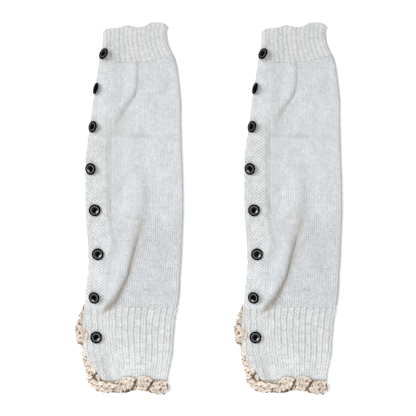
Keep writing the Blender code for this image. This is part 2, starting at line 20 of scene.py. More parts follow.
import bpy
import numpy as np
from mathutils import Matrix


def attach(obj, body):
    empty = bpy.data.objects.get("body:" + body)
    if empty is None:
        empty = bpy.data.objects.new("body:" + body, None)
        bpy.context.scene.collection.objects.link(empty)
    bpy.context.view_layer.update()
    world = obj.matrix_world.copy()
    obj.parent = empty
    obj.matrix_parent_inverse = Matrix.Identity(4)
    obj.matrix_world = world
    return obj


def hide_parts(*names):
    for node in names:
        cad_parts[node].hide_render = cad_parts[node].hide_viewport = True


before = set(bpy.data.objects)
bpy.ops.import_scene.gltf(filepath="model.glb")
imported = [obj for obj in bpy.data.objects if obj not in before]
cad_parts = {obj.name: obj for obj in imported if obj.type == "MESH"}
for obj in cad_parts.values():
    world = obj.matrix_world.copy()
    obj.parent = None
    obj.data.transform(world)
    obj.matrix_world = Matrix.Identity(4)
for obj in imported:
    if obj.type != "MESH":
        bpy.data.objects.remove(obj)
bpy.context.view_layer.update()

MM = 0.001
PAIR_SPACING = 178.1
SIDES = {"left": -PAIR_SPACING / 2, "right": PAIR_SPACING / 2}


def add_object(name, data):
    """A new object for a camera, a lamp or a mesh, at the origin and unturned."""
    thing = bpy.data.objects.new(name, data)
    bpy.context.scene.collection.objects.link(thing)
    return thing


# %% [markdown]
# ## Camera, table and light
#
# The picture is taken from straight above with a long lens, so both warmers are seen from the
# same direction and nothing is foreshortened. The frame is 416 pixels wide and shows 466 mm of
# the table. The light is one large soft box to the upper left, a weak one on the hems' side that
# the buttons don't mirror, and a pale sky all round, so knit grooves stay light and the folds
# still cast a soft shadow.

# %% Camera
FRAME_WIDTH = 465.9
CAMERA_SHIFT = -0.56
CAMERA_HEIGHT = 3000.0
SENSOR = 36.0
CLOTH_LEVEL = 6.0

camera_data = bpy.data.cameras.new("camera_above")
camera_data.sensor_width = SENSOR
camera_data.lens = SENSOR * (CAMERA_HEIGHT - CLOTH_LEVEL) / FRAME_WIDTH
camera_data.clip_end = 10.0
camera = add_object("camera_above", camera_data)
camera.location = (CAMERA_SHIFT * MM, 0.0, CAMERA_HEIGHT * MM)
bpy.context.scene.camera = camera
print("lens:", round(camera_data.lens, 1), "mm")

# %% Lights
SKY_STRENGTH = 0.625


def soft_box(name, place, size, power):
    """A square lamp at a place in metres that faces the middle of the table."""
    lamp = bpy.data.lights.new(name, "AREA")
    lamp.size = size
    lamp.energy = power
    holder = add_object(name, lamp)
    holder.location = place
    across, up, height = np.array(place) / np.linalg.norm(place)
    holder.rotation_euler = (math.acos(height), 0.0, math.atan2(across, -up))
    return holder


soft_box("key_light", (-2.3, 1.0, 3.5), size=2.0, power=153.0)
soft_box("top_light", (0.1, -1.2, 1.7), size=1.2, power=16.0).visible_glossy = False
sky = bpy.data.worlds.new("studio_sky")
sky.use_nodes = True
sky_shader = sky.node_tree.nodes["Background"]
sky_shader.inputs["Color"].default_value = (0.97, 0.985, 1.0, 1.0)
sky_shader.inputs["Strength"].default_value = SKY_STRENGTH
bpy.context.scene.world = sky
bpy.context.scene.view_settings.view_transform = "Standard"
print("lights: 2 soft boxes and a pale sky")

# %% [markdown]
# ## Writing materials as sums
#
# A material is a graph of nodes, but a pattern is easier to read as a formula. `Signal` wraps
# one socket and overloads the arithmetic operators, so `1 - depth * 0.4` adds the Math nodes
# that work it out. `Finish` holds a material and adds any other kind of node in one call. Its
# constants are the names of the shader's sockets, with a low line for each space.

# %% Shader helpers
class Signal:
    """A number that varies over a surface. Arithmetic on it adds Math nodes."""

    def __init__(self, finish, socket):
        self.finish = finish
        self.socket = socket

    def math(self, operation, *others, clamp=False):
        """This number and others through one Math node."""
        settings = {"operation": operation, "use_clamp": clamp}
        return self.finish.node("ShaderNodeMath", settings, dict(enumerate((self, *others))))

    # Each of these adds one Math node. The forms with an r take a plain number on their left.
    __add__ = __radd__ = partialmethod(math, "ADD")
    __mul__ = __rmul__ = partialmethod(math, "MULTIPLY")
    __sub__ = partialmethod(math, "SUBTRACT")
    __pow__ = partialmethod(math, "POWER")
    __abs__ = partialmethod(math, "ABSOLUTE")
    sine = partialmethod(math, "SINE")
    fraction = partialmethod(math, "FRACT")

    def __rsub__(self, other):
        return self.finish.node("ShaderNodeMath", {"operation": "SUBTRACT"}, {0: other, 1: self})

    def clamped(self):
        """Kept between nought and one."""
        return self.math("ADD", 0.0, clamp=True)

    def bell(self, width):
        """A soft bump: e to the power of minus the square of the number over the width."""
        return (self * self * (-1.0 / width**2)).math("EXPONENT")

    def step(self, low, high):
        """A soft step from nought to one as the number runs from low to high."""
        settings = {"interpolation_type": "SMOOTHSTEP"}
        return self.finish.node(
            "ShaderNodeMapRange", settings, {"Value": self, "From Min": low, "From Max": high})


class Finish:
    """A material under construction."""

    def __init__(self, name, **constants):
        self.material = bpy.data.materials.new(name)
        self.material.use_nodes = True
        self.tree = self.material.node_tree
        self.shader = self.tree.nodes["Principled BSDF"]
        for socket, value in constants.items():
            self.shader.inputs[socket.replace("_", " ")].default_value = value

    def node(self, kind, settings=None, sockets=None, output=0):
        """Add a node: its settings are set first, then its sockets' values or links."""
        node = self.tree.nodes.new(kind)
        for name, value in (settings or {}).items():
            setattr(node, name, value)
        for name, value in (sockets or {}).items():
            self.feed(node.inputs[name], value)
        return Signal(self, node.outputs[output])

    def feed(self, socket, value):
        """Link a signal to a socket, or set the socket's own value."""
        if isinstance(value, Signal):
            self.tree.links.new(value.socket, socket)
        elif isinstance(value, tuple) and len(value) == 3 and socket.type == "RGBA":
            socket.default_value = (*value, 1.0)
        else:
            socket.default_value = value

    def attribute(self, name):
        """A number kept at each point of the mesh."""
        return self.node("ShaderNodeAttribute", {"attribute_name": name}, output="Fac")

    def stitch_place(self):
        """The two counts of the piece's own map: stitches across and rows up."""
        whole = self.node("ShaderNodeUVMap", {"uv_map": "stitches"})
        return [self.node("ShaderNodeSeparateXYZ", None, {0: whole}, count) for count in (0, 1)]

    def noise(self, scale, detail):
        """Smooth noise between nought and one, with its scale in lumps for each metre."""
        place = self.node("ShaderNodeTexCoord", output="Object")
        sockets = {"Vector": place, "Scale": scale, "Detail": detail}
        return self.node("ShaderNodeTexNoise", None, sockets, output="Fac")

    def mix(self, factor, first, second):
        """Mix two colours."""
        sockets = {0: factor, 6: first, 7: second}
        return self.node("ShaderNodeMix", {"data_type": "RGBA"}, sockets, output=2)

    def use(self, colour=None, roughness=None, height=None, distance=0.001, strength=1.0):
        """Join the finished signals to the shader, the height through a Bump node."""
        if colour is not None:
            self.feed(self.shader.inputs["Base Color"], colour)
        if roughness is not None:
            self.feed(self.shader.inputs["Roughness"], roughness)
        if height is not None:
            sockets = {"Height": height, "Distance": distance, "Strength": strength}
            self.feed(self.shader.inputs["Normal"], self.node("ShaderNodeBump", None, sockets))


print("shader helpers ready")

# %% [markdown]
# ## The table
#
# A plain pale surface that runs far past the view, so a view from low down has table all round
# too. It is matt, so it mirrors nothing, and it has a very faint grain so that it isn't one flat
# number.

# %% Table
TABLE_HALF = 4000.0
TABLE_DROP = 0.05

table_finish = Finish("pale_table", Roughness=0.95)
table_grain = table_finish.noise(60.0, 3.0)
table_finish.use(table_finish.mix(table_grain, (0.93, 0.93, 0.93), (0.96, 0.96, 0.96)))
corners = TABLE_HALF * np.array([[-1, -1, 0], [1, -1, 0], [1, 1, 0], [-1, 1, 0]], float)
corners[:, 2] = -TABLE_DROP
table_mesh = bpy.data.meshes.new("table")
table_mesh.from_pydata((corners * MM).tolist(), [], [[0, 1, 2, 3]])
table_mesh.materials.append(table_finish.material)
add_object("table", table_mesh)
print("table made, just below the cloth's underside")

# %% [markdown]
# ## The flattened tube
#
# Laid flat, a knitted tube has two layers joined by a soft fold on each side. Its outline, the
# seam of the button band and the hems are curves that were measured along the warmer. Each is
# kept as a short table of rows, and a smooth cubic is run through them.

# %% Curves of the warmer
class Curves:
    """Smooth curves through the rows of a table, whose first column says where each row is.

    A cubic joins each two rows and never overshoots: the slope at a row is the harmonic mean of
    the slopes on its two sides, or nought where they point opposite ways.
    """

    def __init__(self, columns, rows):
        self.columns = columns.split()
        self.rows = np.array(sorted(rows), dtype=float)

    def __call__(self, column, at):
        """Read a column anywhere."""
        place, value = self.rows[:, 0], self.rows[:, self.columns.index(column)]
        rise = np.diff(value) / np.diff(place)
        before, after = rise[:-1], rise[1:]
        same_way = before * after > 0.0
        slope = np.zeros_like(value)
        slope[1:-1] = np.where(
            same_way, 2.0 * before * after / np.where(same_way, before + after, 1.0), 0.0)
        slope[0], slope[-1] = rise[0], rise[-1]
        at = np.clip(np.asarray(at, dtype=float), place[0], place[-1])
        left = np.clip(np.searchsorted(place, at) - 1, 0, len(place) - 2)
        width = place[left + 1] - place[left]
        t = (at - place[left]) / width
        return (
            (2 * t**3 - 3 * t**2 + 1) * value[left]
            + (t**3 - 2 * t**2 + t) * width * slope[left]
            + (3 * t**2 - 2 * t**3) * value[left + 1]
            + (t**3 - t**2) * width * slope[left + 1]
        )


outline = Curves("up left right crown seam", (
    # the warmer's two edges, the height of the band's fold, and the height at the band's seam
    (208, -29.5, 41, 7, 5.6),
    (203, -29.7, 43.2, 7.4, 5.8),
    (198, -29.7, 41.3, 7.6, 6),
    (186, -29.6, 42.8, 9, 6.8),
    (177, -31.3, 46, 9.4, 7.2),
    (168, -33, 50.9, 9.6, 7.4),
    (155, -34.7, 54.1, 9.6, 7.6),
    (137, -37.3, 56.3, 9.6, 7.6),
    (114, -41, 58.2, 9.6, 7.6),
    (96, -42.8, 58.1, 9.4, 7.6),
    (78, -45.3, 58.6, 9.2, 7.6),
    (52, -48.1, 59.4, 8.8, 7.6),
    (20, -48.3, 60.5, 8.4, 7.4),
    (-2, -48.2, 60.6, 8.2, 7.4),
    (-24, -46.4, 59.7, 8, 7.6),
    (-40, -45.4, 59, 8, 7.8),
    (-57, -44.8, 58.3, 8, 7.8),
    (-74, -46, 57.1, 8.2, 7.8),
    (-92, -47.8, 56.4, 8.4, 7.6),
    (-110, -49.3, 54.2, 8.2, 7.2),
    (-125, -50.3, 50.8, 7.8, 6.6),
    (-134, -51.2, 49.8, 7.6, 6.4),
    (-148, -51, 48.8, 7.6, 6.2),
    (-159, -50.4, 48.2, 7.6, 6),
    (-168, -45.8, 47, 7.4, 5.8),
    (-177, -41, 45.5, 7.2, 5.6),
    (-185, -34.5, 44, 7, 5.4),
    (-195, -28.5, 42.6, 6.8, 5.4),
))
BAND_SEAM = np.array(sorted((
    # up, across
    (210, -20.2), (165, -20.2), (93, -21.3), (3, -21.3), (-24, -17.2), (-40, -15.8),
    (-57, -21.5), (-74, -25.4), (-92, -27.4), (-110, -28.6), (-134, -28.2), (-159, -26),
    (-196, -17.6),
))).T
TOP_HEM = Curves("share up", (
    (0, 198), (0.08, 201), (0.25, 202.5), (0.38, 205), (0.54, 202.8), (0.68, 205), (0.77, 208.2),
    (0.93, 208.2), (1, 204),
))
TOP_SEAM = Curves("share up", (
    (0, 165), (0.2, 163), (0.45, 162.9), (0.6, 163.8), (0.8, 166.8), (1, 171.2),
))
BOTTOM_SEAM = Curves("share up", (
    (0, -111.5), (0.2, -115.6), (0.32, -113.2), (0.5, -112), (1, -112.5),
))
BOTTOM_HEM = Curves("share up", (
    (0, -193), (0.15, -194.3), (1, -193.8),
))


def band_seam(up):
    """Place across of the seam between the button band and the leg's front."""
    wander = 0.35 * np.sin(up / 3.1) + 0.25 * np.sin(up / 1.9 + 1.0)
    return np.interp(up, *BAND_SEAM) + wander


def ease(value):
    """A soft step from nought to one as the value runs from nought to one."""
    value = np.clip(value, 0.0, 1.0)
    return value * value * (3.0 - 2.0 * value)


def bell(value):
    """A soft bump, one in the middle: e to the power of minus the square."""
    return np.exp(-value * value)


print("tube is", outline("right", 0.0) - outline("left", 0.0), "mm wide at its middle")

# %% [markdown]
# ## The folds on the front
#
# The cloth doesn't lie quite flat. Near the top a narrow crease runs down from the cuff's seam
# and slants to the left. Below the middle the cloth beside the band swells into a long soft
# fold that leans to the right, falls steeply to its foot there, and casts the one dark shadow
# of the picture, deepened by shade painted at its foot. A few faint cross creases come from how
# the warmer was folded away, and shade is painted into them and into the trough along the
# band's seam.

# %% Heights of the front
LEG_HEIGHT = 5.6
CUFF_HEIGHT = 5.0
SEAM_RISE_REACH = 18.0
fold = Curves("up across swell sharp flank reach shade left right", (
    # the fold's line and height, how sharp and wide its flank is, how far it reaches, and its
    # painted shade with a half width on each side of the line
    (172, 9.7, 0, 0, 4, 12, 0.2, 1.6, 1.2),
    (156, 9.7, 0.6, 0.1, 4.5, 14, 0.7, 1.7, 1.2),
    (140, 9.4, 1, 0.3, 5, 16, 0.66, 2.2, 1.4),
    (131, 8, 1.2, 0.4, 5.5, 16.5, 0.84, 2.3, 1.4),
    (122, 4.2, 1.3, 0.5, 6, 17, 0.72, 3.2, 1.8),
    (114, -2, 1.2, 0.4, 7.5, 17.5, 0.6, 4.4, 2.2),
    (104, -9, 1, 0.2, 9, 18, 0.5, 6, 3),
    (92, -14.6, 0.5, 0, 10, 19, 0.32, 6, 4),
    (75, -8, 0, 0, 12, 20, 0, 6, 5),
    (50, 14, 0.2, 0, 14, 26, 0, 7, 6),
    (28, 20.5, 0.6, 0, 14, 34, 0.18, 7, 5),
    (6, 19, 1.4, 0, 13, 38, 0.36, 7, 5),
    (-15.7, 14.6, 2.8, 0.3, 12, 38, 0.5, 5.5, 4.5),
    (-36, 9, 4.1, 0.7, 11, 32, 0.62, 4.4, 4),
    (-58, 2.9, 4.9, 1, 11, 31, 0.84, 2.2, 3.8),
    (-75, -1.2, 5.1, 1, 11, 30, 0.88, 2.2, 3.8),
    (-92, -8.7, 4.7, 0.9, 9, 24, 0.86, 3.2, 4.2),
    (-103, -14.2, 3.7, 0.7, 7.5, 19, 1.1, 6.2, 4.4),
    (-110, -21, 2.2, 0.4, 6, 13, 1.24, 5.2, 6.4),
    (-116, -27, 1.2, 0, 6, 13, 0.7, 3, 3.6),
    (-121, -30, 0.6, 0, 6, 13, 0, 2, 2),
))
FOLD_CLEARANCE = 6.0
STEEP_FLANK = 6.5
trough = Curves("up depth", (
    (170, 0), (150, 0.2), (120, 0.4), (90, 0.9), (60, 1.3), (5, 1.4), (-30, 1.2), (-60, 0.6),
    (-90, 0.3), (-112, 0.1),
))
TROUGH_WIDTH = 3.2
CREASES = (
    # middle across, middle up, half length, degrees off level, half width, depth
    (6, 81, 26, -2, 2.2, 1.1),
    (-6, 87, 12, 6, 1.6, 0.18),
    (38, 16, 6, 3, 1.2, 0.5),
    (47, 144, 5, 62, 1.5, 0.3),
    (20, -91.5, 15, 8, 1.8, 0.9),
    (31, -62, 13, 30, 2.2, 0.35),
    (2, -9, 14, 48, 3.2, 0.55),
    (-4, -22, 12, 55, 2.8, 0.4),
    (-9, 26, 15, 62, 4, 0.45),
    (33, 96, 14, -9, 2.6, 0.28),
    (26, 46, 18, 12, 3.4, 0.3),
    (42, -34, 9, -14, 2.4, 0.26),
    (28, 126, 15, 24, 3.6, 0.32),
    (38, 66, 12, -16, 3, 0.26),
)
WAVES = (
    # height, length across, length up, turn at the middle
    (0.36, 47, 210, 0.6), (0.3, -83, 71, 2.1), (0.24, 31, 120, 4.4), (0.18, 26, -58, 1.3),
    (0.18, 120, 33, 5.2),
)
random = np.random.default_rng(17)
RIPPLE_HEIGHT = 0.028
RIPPLES = np.stack([
    # direction, length, start
    random.uniform(0.0, np.pi, 22), random.uniform(6.5, 17.0, 22),
    random.uniform(0.0, 2 * np.pi, 22)], axis=-1)


def fold_at(up):
    """Place across of the long fold, kept clear of the band's seam."""
    return np.maximum(fold("across", up), band_seam(up) + FOLD_CLEARANCE)


def creases_at(across, up):
    """Depth of the small creases: each is a soft trough that fades out at both its ends."""
    depth = np.zeros_like(across)
    for middle, level, half, degrees, width, deepest in CREASES:
        turn = math.radians(degrees)
        along = (across - middle) * math.cos(turn) + (up - level) * math.sin(turn)
        beside = (up - level) * math.cos(turn) - (across - middle) * math.sin(turn)
        wander = 0.35 * width * np.sin(along / half * 3.1 + level)
        uneven = 0.75 + 0.25 * np.sin(along / half * 5.3 + middle)
        depth += deepest * bell(along / half) * bell((beside - wander) / width) * uneven
    return depth


def waves_at(across, up):
    """Long shallow waves of cloth that isn't ironed."""
    height = np.zeros_like(across)
    for size, length_across, length_up, turn in WAVES:
        height += size * np.sin(2 * np.pi * (across / length_across + up / length_up) + turn)
    return height


def trough_at(across, up):
    """The soft trough along the band's seam, on the band and on the leg alike."""
    return trough("depth", up) * bell((across - band_seam(up)) / TROUGH_WIDTH)


def ripple_at(across, up):
    """Small uneven patches of the stitches' pull, a sum of crossing waves."""
    height = np.zeros_like(across)
    for turn, wave, start in RIPPLES:
        height += np.sin((across * np.cos(turn) + up * np.sin(turn)) * 2 * np.pi / wave + start)
    return RIPPLE_HEIGHT * height


def rise_to_band(across, up, level):
    """How far a front at this level climbs towards the band's seam."""
    near = ease(1.0 - (across - band_seam(up)) / SEAM_RISE_REACH)
    return (outline("seam", up) - level) * near


def off_edge(across, up):
    """One on the front, and nought near its right edge, where the cloth turns under."""
    return ease((outline("right", up) - across - 3.0) / 8.0)


def leg_height(across, up):
    """Height of the leg's front: flat, plus the rise to the band, the long fold and creases.

    Left of the fold's line the cloth climbs to its crest, like a quarter of an ellipse where
    the fold is sharp and in a soft step where it isn't. From there it falls within its reach.
    """
    before = fold_at(up) - across
    flank, sharp = fold("flank", up), 0.7 * fold("sharp", up)
    steep = np.sqrt(1.0 - (1.0 - np.clip(before / STEEP_FLANK, 0.0, 1.0)) ** 2)
    climb = sharp * steep + (1.0 - sharp) * ease(before / flank)
    fall = 1.0 - ease((before - flank) / (fold("reach", up) - flank))
    swell = fold("swell", up) * climb * fall
    risen = (rise_to_band(across, up, LEG_HEIGHT)**3 + swell**3) ** (1 / 3)
    soft = waves_at(across, up) + ripple_at(across, up) - creases_at(across, up)
    return LEG_HEIGHT + risen + soft * off_edge(across, up) - trough_at(across, up)


def fold_shade(across, up):
    """How much shade is painted into the fold: a bell with its own width on each side."""
    past = across - fold("across", up)
    width = np.where(past < 0.0, fold("left", up), fold("right", up))
    return 0.78 * fold("shade", up) * bell(past / width)


def seam_shade(across, up):
    """The same for the trough along the band's seam, steeper on the band's side."""
    past = across - band_seam(up) + 1.6
    width = np.where(past < 0.0, 2.4, 6.5)
    return 0.19 * trough("depth", up) * bell(past / width)


def cuff_height(across, up):
    """Height of a cuff's front without its ribs: flat, but for the rise to the band."""
    soft = 0.6 * waves_at(across + 40.0, up) + ripple_at(across, up)
    return CUFF_HEIGHT + rise_to_band(across, up, CUFF_HEIGHT) + soft * off_edge(across, up)


def band_height(across, up):
    """Height of the band's front, which falls from the fold's crown to the seam."""
    crown = outline("crown", up)
    start = outline("left", up) + crown / 2
    share = (across - start) / (band_seam(up) - start)
    level = crown + (outline("seam", up) - crown) * ease(share)
    return level - trough_at(across, up) * ease(share * 2.0)


print("fold and", len(CREASES), "creases placed")

# %% [markdown]
# ## Laying a wall of cloth
#
# A piece's wall is followed along its section: across the front from the band's seam, round
# the side fold, which is half a circle, and back along the table to the seam behind. One number
# counts this path, 0 to 1 on the front, 1 to 2 round the fold and 2 to 3 underneath. The other
# counts the way up between the piece's two ends. The pieces left and right of the seam differ
# only in the way they go.

# %% Path of a wall
SEAM_GAP = 0.3
SEAM_PLAY = -0.12
BACK_SEAM_AT = -15.5
SETTLE_ROUNDS = 6


@dataclass
class Piece:
    """The sizes of one knitted piece. Side is +1 if it folds round to the right, -1 left.

    Low and high are the lines of its ends. Radius, of the fold, and height, of the front, are
    functions of the place.
    """

    side: int
    low: Curves
    high: Curves
    wall: float
    radius: Callable
    height: Callable

    def lay(self, along, fraction, depth=0.0):
        """Points of the wall, at a depth below its outside.

        A point's height up the warmer depends on its place across, and the other way round, so
        the two are worked out in turns until they agree.
        """
        along, fraction = np.broadcast_arrays(
            np.asarray(along, float), np.asarray(fraction, float))
        side = self.side
        turn = np.pi * (0.5 - np.clip(along - 1.0, 0.0, 1.0))
        share = np.full(along.shape, 0.5)
        for _ in range(SETTLE_ROUNDS):
            bottom = self.low("up", share)
            top = self.high("up", share)
            up = bottom + (top - bottom) * fraction
            radius = self.radius(up)
            edge = outline("right" if side > 0 else "left", up)
            middle = edge - side * radius
            start = band_seam(up) + side * SEAM_PLAY
            front = start + (middle - start) * np.clip(along, 0.0, 1.0)
            behind = BACK_SEAM_AT + side * SEAM_GAP / 2
            under = middle + (behind - middle) * np.clip(along - 2.0, 0.0, 1.0)
            bend = middle + side * (radius - depth) * np.cos(turn)
            across = np.select([along <= 1.0, along <= 2.0], [front, bend], under)
            left, right = outline("left", up), outline("right", up)
            share = np.clip((across - left) / (right - left), 0.0, 1.0)
        flat = self.height(across, up) - depth
        height = np.select(
            [along <= 1.0, along <= 2.0], [flat, radius + (radius - depth) * np.sin(turn)], depth)
        return np.stack([across, up, height], axis=-1)


def length_along(points):
    """Distance from the first column of a grid of points, followed along each row."""
    steps = np.linalg.norm(np.diff(points, axis=1), axis=-1)
    return np.concatenate([np.zeros((len(points), 1)), np.cumsum(steps, axis=1)], axis=1)


def facing(points, side):
    """Unit normals of a grid of points, from its slopes along rows and columns."""
    along = np.gradient(points, axis=1)
    upward = np.gradient(points, axis=0)
    normal = np.cross(along, upward) * side
    return normal / np.linalg.norm(normal, axis=-1, keepdims=True)


print("wall paths ready")

# %% [markdown]
# ## Stitches
#
# Plain knitting is columns of Vs. Each V is one loop of yarn whose two legs rise outwards from
# its middle. As relief, a column has a groove at its middle and at its sides, with two rows of
# slanted beads between them. Ribbing is the same, with sunk grooves between raised columns.

# %% Stitch relief
LOOSENESS = random.uniform(-1.0, 1.0, (61, 67))


@dataclass
class Stitch:
    """Plain knitting of one kind of yarn.

    Slant says how far up a leg runs, in rows. Gap is half the width of the gaps between loops,
    in rows, and cut their depth. Side and middle are the depths of the grooves along a column.
    """

    slant: float
    gap: float
    cut: float
    side: float
    middle: float

    def height(self, column, row):
        """Height from nought to one at a count of columns and rows.

        Across a column it is one less the sixth power of the way to its side, with a shallow
        groove down the middle. Up a column, a gap parts each loop's legs from the next loop's.
        """
        to_side = np.abs(2.0 * (column - np.floor(column)) - 1.0)
        leg = (1.0 - self.side * to_side**6) * (1.0 - self.middle * bell(to_side / 0.25))
        along = row - self.slant * to_side
        from_gap = 0.5 - np.abs(along - np.floor(along) - 0.5)
        return leg * (1.0 - self.cut * bell(from_gap / self.gap))

    def loose(self, column, row):
        """How much each loop differs from others, from -1 to 1, the same all over one loop."""
        to_side = np.abs(2.0 * (column - np.floor(column)) - 1.0)
        across = np.floor(column).astype(int) % LOOSENESS.shape[0]
        upward = np.floor(row - self.slant * to_side).astype(int) % LOOSENESS.shape[1]
        return LOOSENESS[across, upward]


def rib(column, groove=0.2):
    """Height of a rib, from nought in the groove at each whole number to one on its back."""
    from_groove = 0.5 - np.abs(column - np.floor(column) - 0.5)
    return 1.0 - bell(from_groove / groove)


FINE = Stitch(slant=0.8, gap=0.20, cut=0.7, side=1.0, middle=0.35)
RIBBED = Stitch(slant=0.5, gap=0.24, cut=0.95, side=0.4, middle=0.15)
DOUBLE = Stitch(slant=0.6, gap=0.24, cut=0.75, side=0.4, middle=0.6)
CHUNKY = Stitch(slant=1.0, gap=0.17, cut=0.9, side=0.45, middle=0.18)
print("a stitch is", FINE.height(np.array([0.25]), np.array([0.9])).round(2), "at its highest")

# %% [markdown]
# ## From grids of points to a closed shell
#
# The outside of a piece needs thousands of points to hold its stitches, but the inside is plain
# and is never looked at closely. So the shell has a fine grid outside, a coarse one inside and
# underneath, and strips of many-sided faces that join several fine edges to one coarse edge.

# %% Mesh helpers
def number_grids(*grids):
    """Point numbers of grids of points that follow one another in a mesh."""
    numbers, start = [], 0
    for grid in grids:
        rows, columns = grid.shape[:2]
        numbers.append(start + np.arange(rows * columns).reshape(rows, columns))
        start += rows * columns
    return numbers


def grid_faces(number):
    """Four-sided faces of a grid of point numbers, or of many grids at once."""
    corners = (
        number[..., :-1, :-1], number[..., :-1, 1:], number[..., 1:, 1:], number[..., 1:, :-1])
    return np.stack(corners, axis=-1).reshape(-1, 4)


def strip_faces(fine, coarse, step):
    """Faces between a fine line of point numbers and a coarse one, step fine edges to each."""
    first = np.arange(len(coarse) - 1)
    fan = fine[first[:, None] * step + np.arange(step + 1)]
    return np.hstack([fan, coarse[1:, None], coarse[:-1, None]])


def make_mesh(name, points, faces, finish, counts=None, values=None):
    """A mesh from points in millimetres and blocks of faces, with a stitch map and values."""
    mesh = bpy.data.meshes.new(name)
    mesh.from_pydata(
        (points * MM).tolist(), [], [face for block in faces for face in block.tolist()])
    if counts is not None:
        corner = np.zeros(len(mesh.loops), dtype=np.int32)
        mesh.loops.foreach_get("vertex_index", corner)
        layer = mesh.uv_layers.new(name="stitches")
        layer.uv.foreach_set("vector", counts[corner].astype(np.float32).ravel())
    for key, value in (values or {}).items():
        data = mesh.attributes.new(key, "FLOAT", "POINT").data
        data.foreach_set("value", np.asarray(value, np.float32).ravel())
    mesh.shade_smooth()
    mesh.materials.append(finish.material)
    mesh.update()
    return mesh


def place_pair(name, mesh, node):
    """Put a mesh made for the middle of one warmer into both, and hide the plain solids.

    Returns the two objects. A mesh holds its own place, so each side gets its own copy.
    """
    placed = {}
    for side, offset in SIDES.items():
        copy = mesh.copy()
        where = np.zeros(len(copy.vertices) * 3, np.float32)
        copy.vertices.foreach_get("co", where)
        where[0::3] += offset * MM
        copy.vertices.foreach_set("co", where)
        copy.update()
        piece = add_object(f"{side}_{name}", copy)
        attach(piece, "root")
        if node:
            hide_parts(f"{side}_{node}")
        placed[side] = piece
    bpy.data.meshes.remove(mesh)
    triangles = sum(len(face.vertices) - 2 for face in placed["left"].data.polygons)
    print(f"{name}: {triangles} triangles each")
    return placed


def lay_sheets(placed, width, length, with_pieces=None):
    """Print the cut of both warmers' pieces, a width by a length, beside the area that is laid."""
    area = sum(face.area for face in placed["left"].data.polygons) / 2
    print(f"  cut {width * length:.4f} square metres, laid {area:.4f}")


def knit_shell(name, piece, relief, finish, front, bend, rows, coarse=(4, 5), under=10):
    """A closed shell of one knitted piece, with its columns on the front and round the bend.

    Relief is a function of the outside's points and its path. It returns the stitches' height,
    which sinks to nothing where the cloth meets the table, their counts across and up, and the
    values of the finish.
    """
    column_step, row_step = coarse
    along = np.concatenate([
        np.linspace(0.0, 1.0, front + 1), np.linspace(1.0, 2.0, bend + 1)[1:]])[None, :]
    fraction = np.linspace(0.0, 1.0, rows + 1)[:, None]
    base = piece.lay(along, fraction)
    height, counts, values = relief(base, along, fraction)
    outer = base + facing(base, piece.side) * (height * ease((2.0 - along) / 0.3))[..., None]
    outer[..., 2] = np.maximum(outer[..., 2], 0.0)
    behind = np.linspace(2.0, 3.0, under + 1)[None, :]
    lower = piece.lay(behind, fraction[::row_step])[:, 1:]
    coarse_along = np.concatenate([along[:, ::column_step], behind[:, 1:]], axis=1)
    inner = piece.lay(coarse_along, fraction[::row_step], piece.wall)

    fine, below, inside = number_grids(outer, lower, inner)
    faces = [
        grid_faces(fine),
        strip_faces(fine[:, -1], below[:, 0], row_step)[:, ::-1],
        grid_faces(below),
        strip_faces(below[:, -1], inside[:, -1], 1)[:, ::-1],
        grid_faces(inside)[:, ::-1],
        strip_faces(fine[:, 0], inside[:, 0], row_step),
    ]
    turned = (front + bend) // column_step
    for row, order in ((0, -1), (-1, 1)):
        rim = strip_faces(fine[row], inside[row, :turned + 1], column_step)
        line = np.concatenate([fine[row, -1:], below[row]])
        faces += [rim[:, ::order], strip_faces(line, inside[row, turned:], 1)[:, ::order]]
    faces = [block[:, ::piece.side] for block in faces]

    shift = np.arange(1, under + 1)[:, None] * [3.0 * piece.side, 0.0]
    under_counts = counts[::row_step, -1:] + shift
    inner_counts = np.concatenate([counts[::row_step, ::column_step], under_counts], axis=1)
    counts = np.concatenate([c.reshape(-1, 2) for c in (counts, under_counts, inner_counts)])
    points = np.concatenate([grid.reshape(-1, 3) for grid in (outer, lower, inner)])
    values = {
        key: np.concatenate([value.ravel(), np.zeros(len(counts) - value.size)])
        for key, value in values.items()}
    return make_mesh(name, points, faces, finish, counts, values)


def knit_piece(node, piece, relief, finish, grid, cut, **shell):
    """Knit one piece, put it into both warmers and print its cut.

    Grid counts the points across the front, round the bend and up. Cut is in metres.
    """
    mesh = knit_shell(node, piece, relief, finish, *grid, **shell)
    lay_sheets(place_pair(f"{node}_knit", mesh, node), *cut)


print("mesh helpers ready")

# %% [markdown]
# ## The white knit
#
# The yarn is a soft cotton and wool mix, matt, with a fine fuzz that catches light at grazing
# angles: that is the shader's sheen. Its bump follows the same formula as the stitches, in the
# piece's own stitch map, and adds the twist of the yarn and loose fibres. The leg is a cooler
# white than the ribs. Three numbers kept at each point of a mesh change it. The first paints
# shade grey into the grooves, with a little random tone from loose loops and painted light on
# the fold's crest. The second, shade, paints the shadow brown under the fold, in the band's
# seam and in the creases. The third, rib_yarn, gives the lower part of the band the white of the
# rib beside it.

# %% Knit finish
RIB_WHITE = (0.605, 0.611, 0.603)
# colours of painted shade: grey for the grooves, brown for the fold's shadow
PAINTED_GROOVE_SHADE = (0.41, 0.41, 0.405)
PAINTED_FOLD_SHADE = (0.28, 0.225, 0.16)
DULL_FIBRE = (0.48, 0.48, 0.475)
BRIGHT_FIBRE = (0.80, 0.81, 0.81)


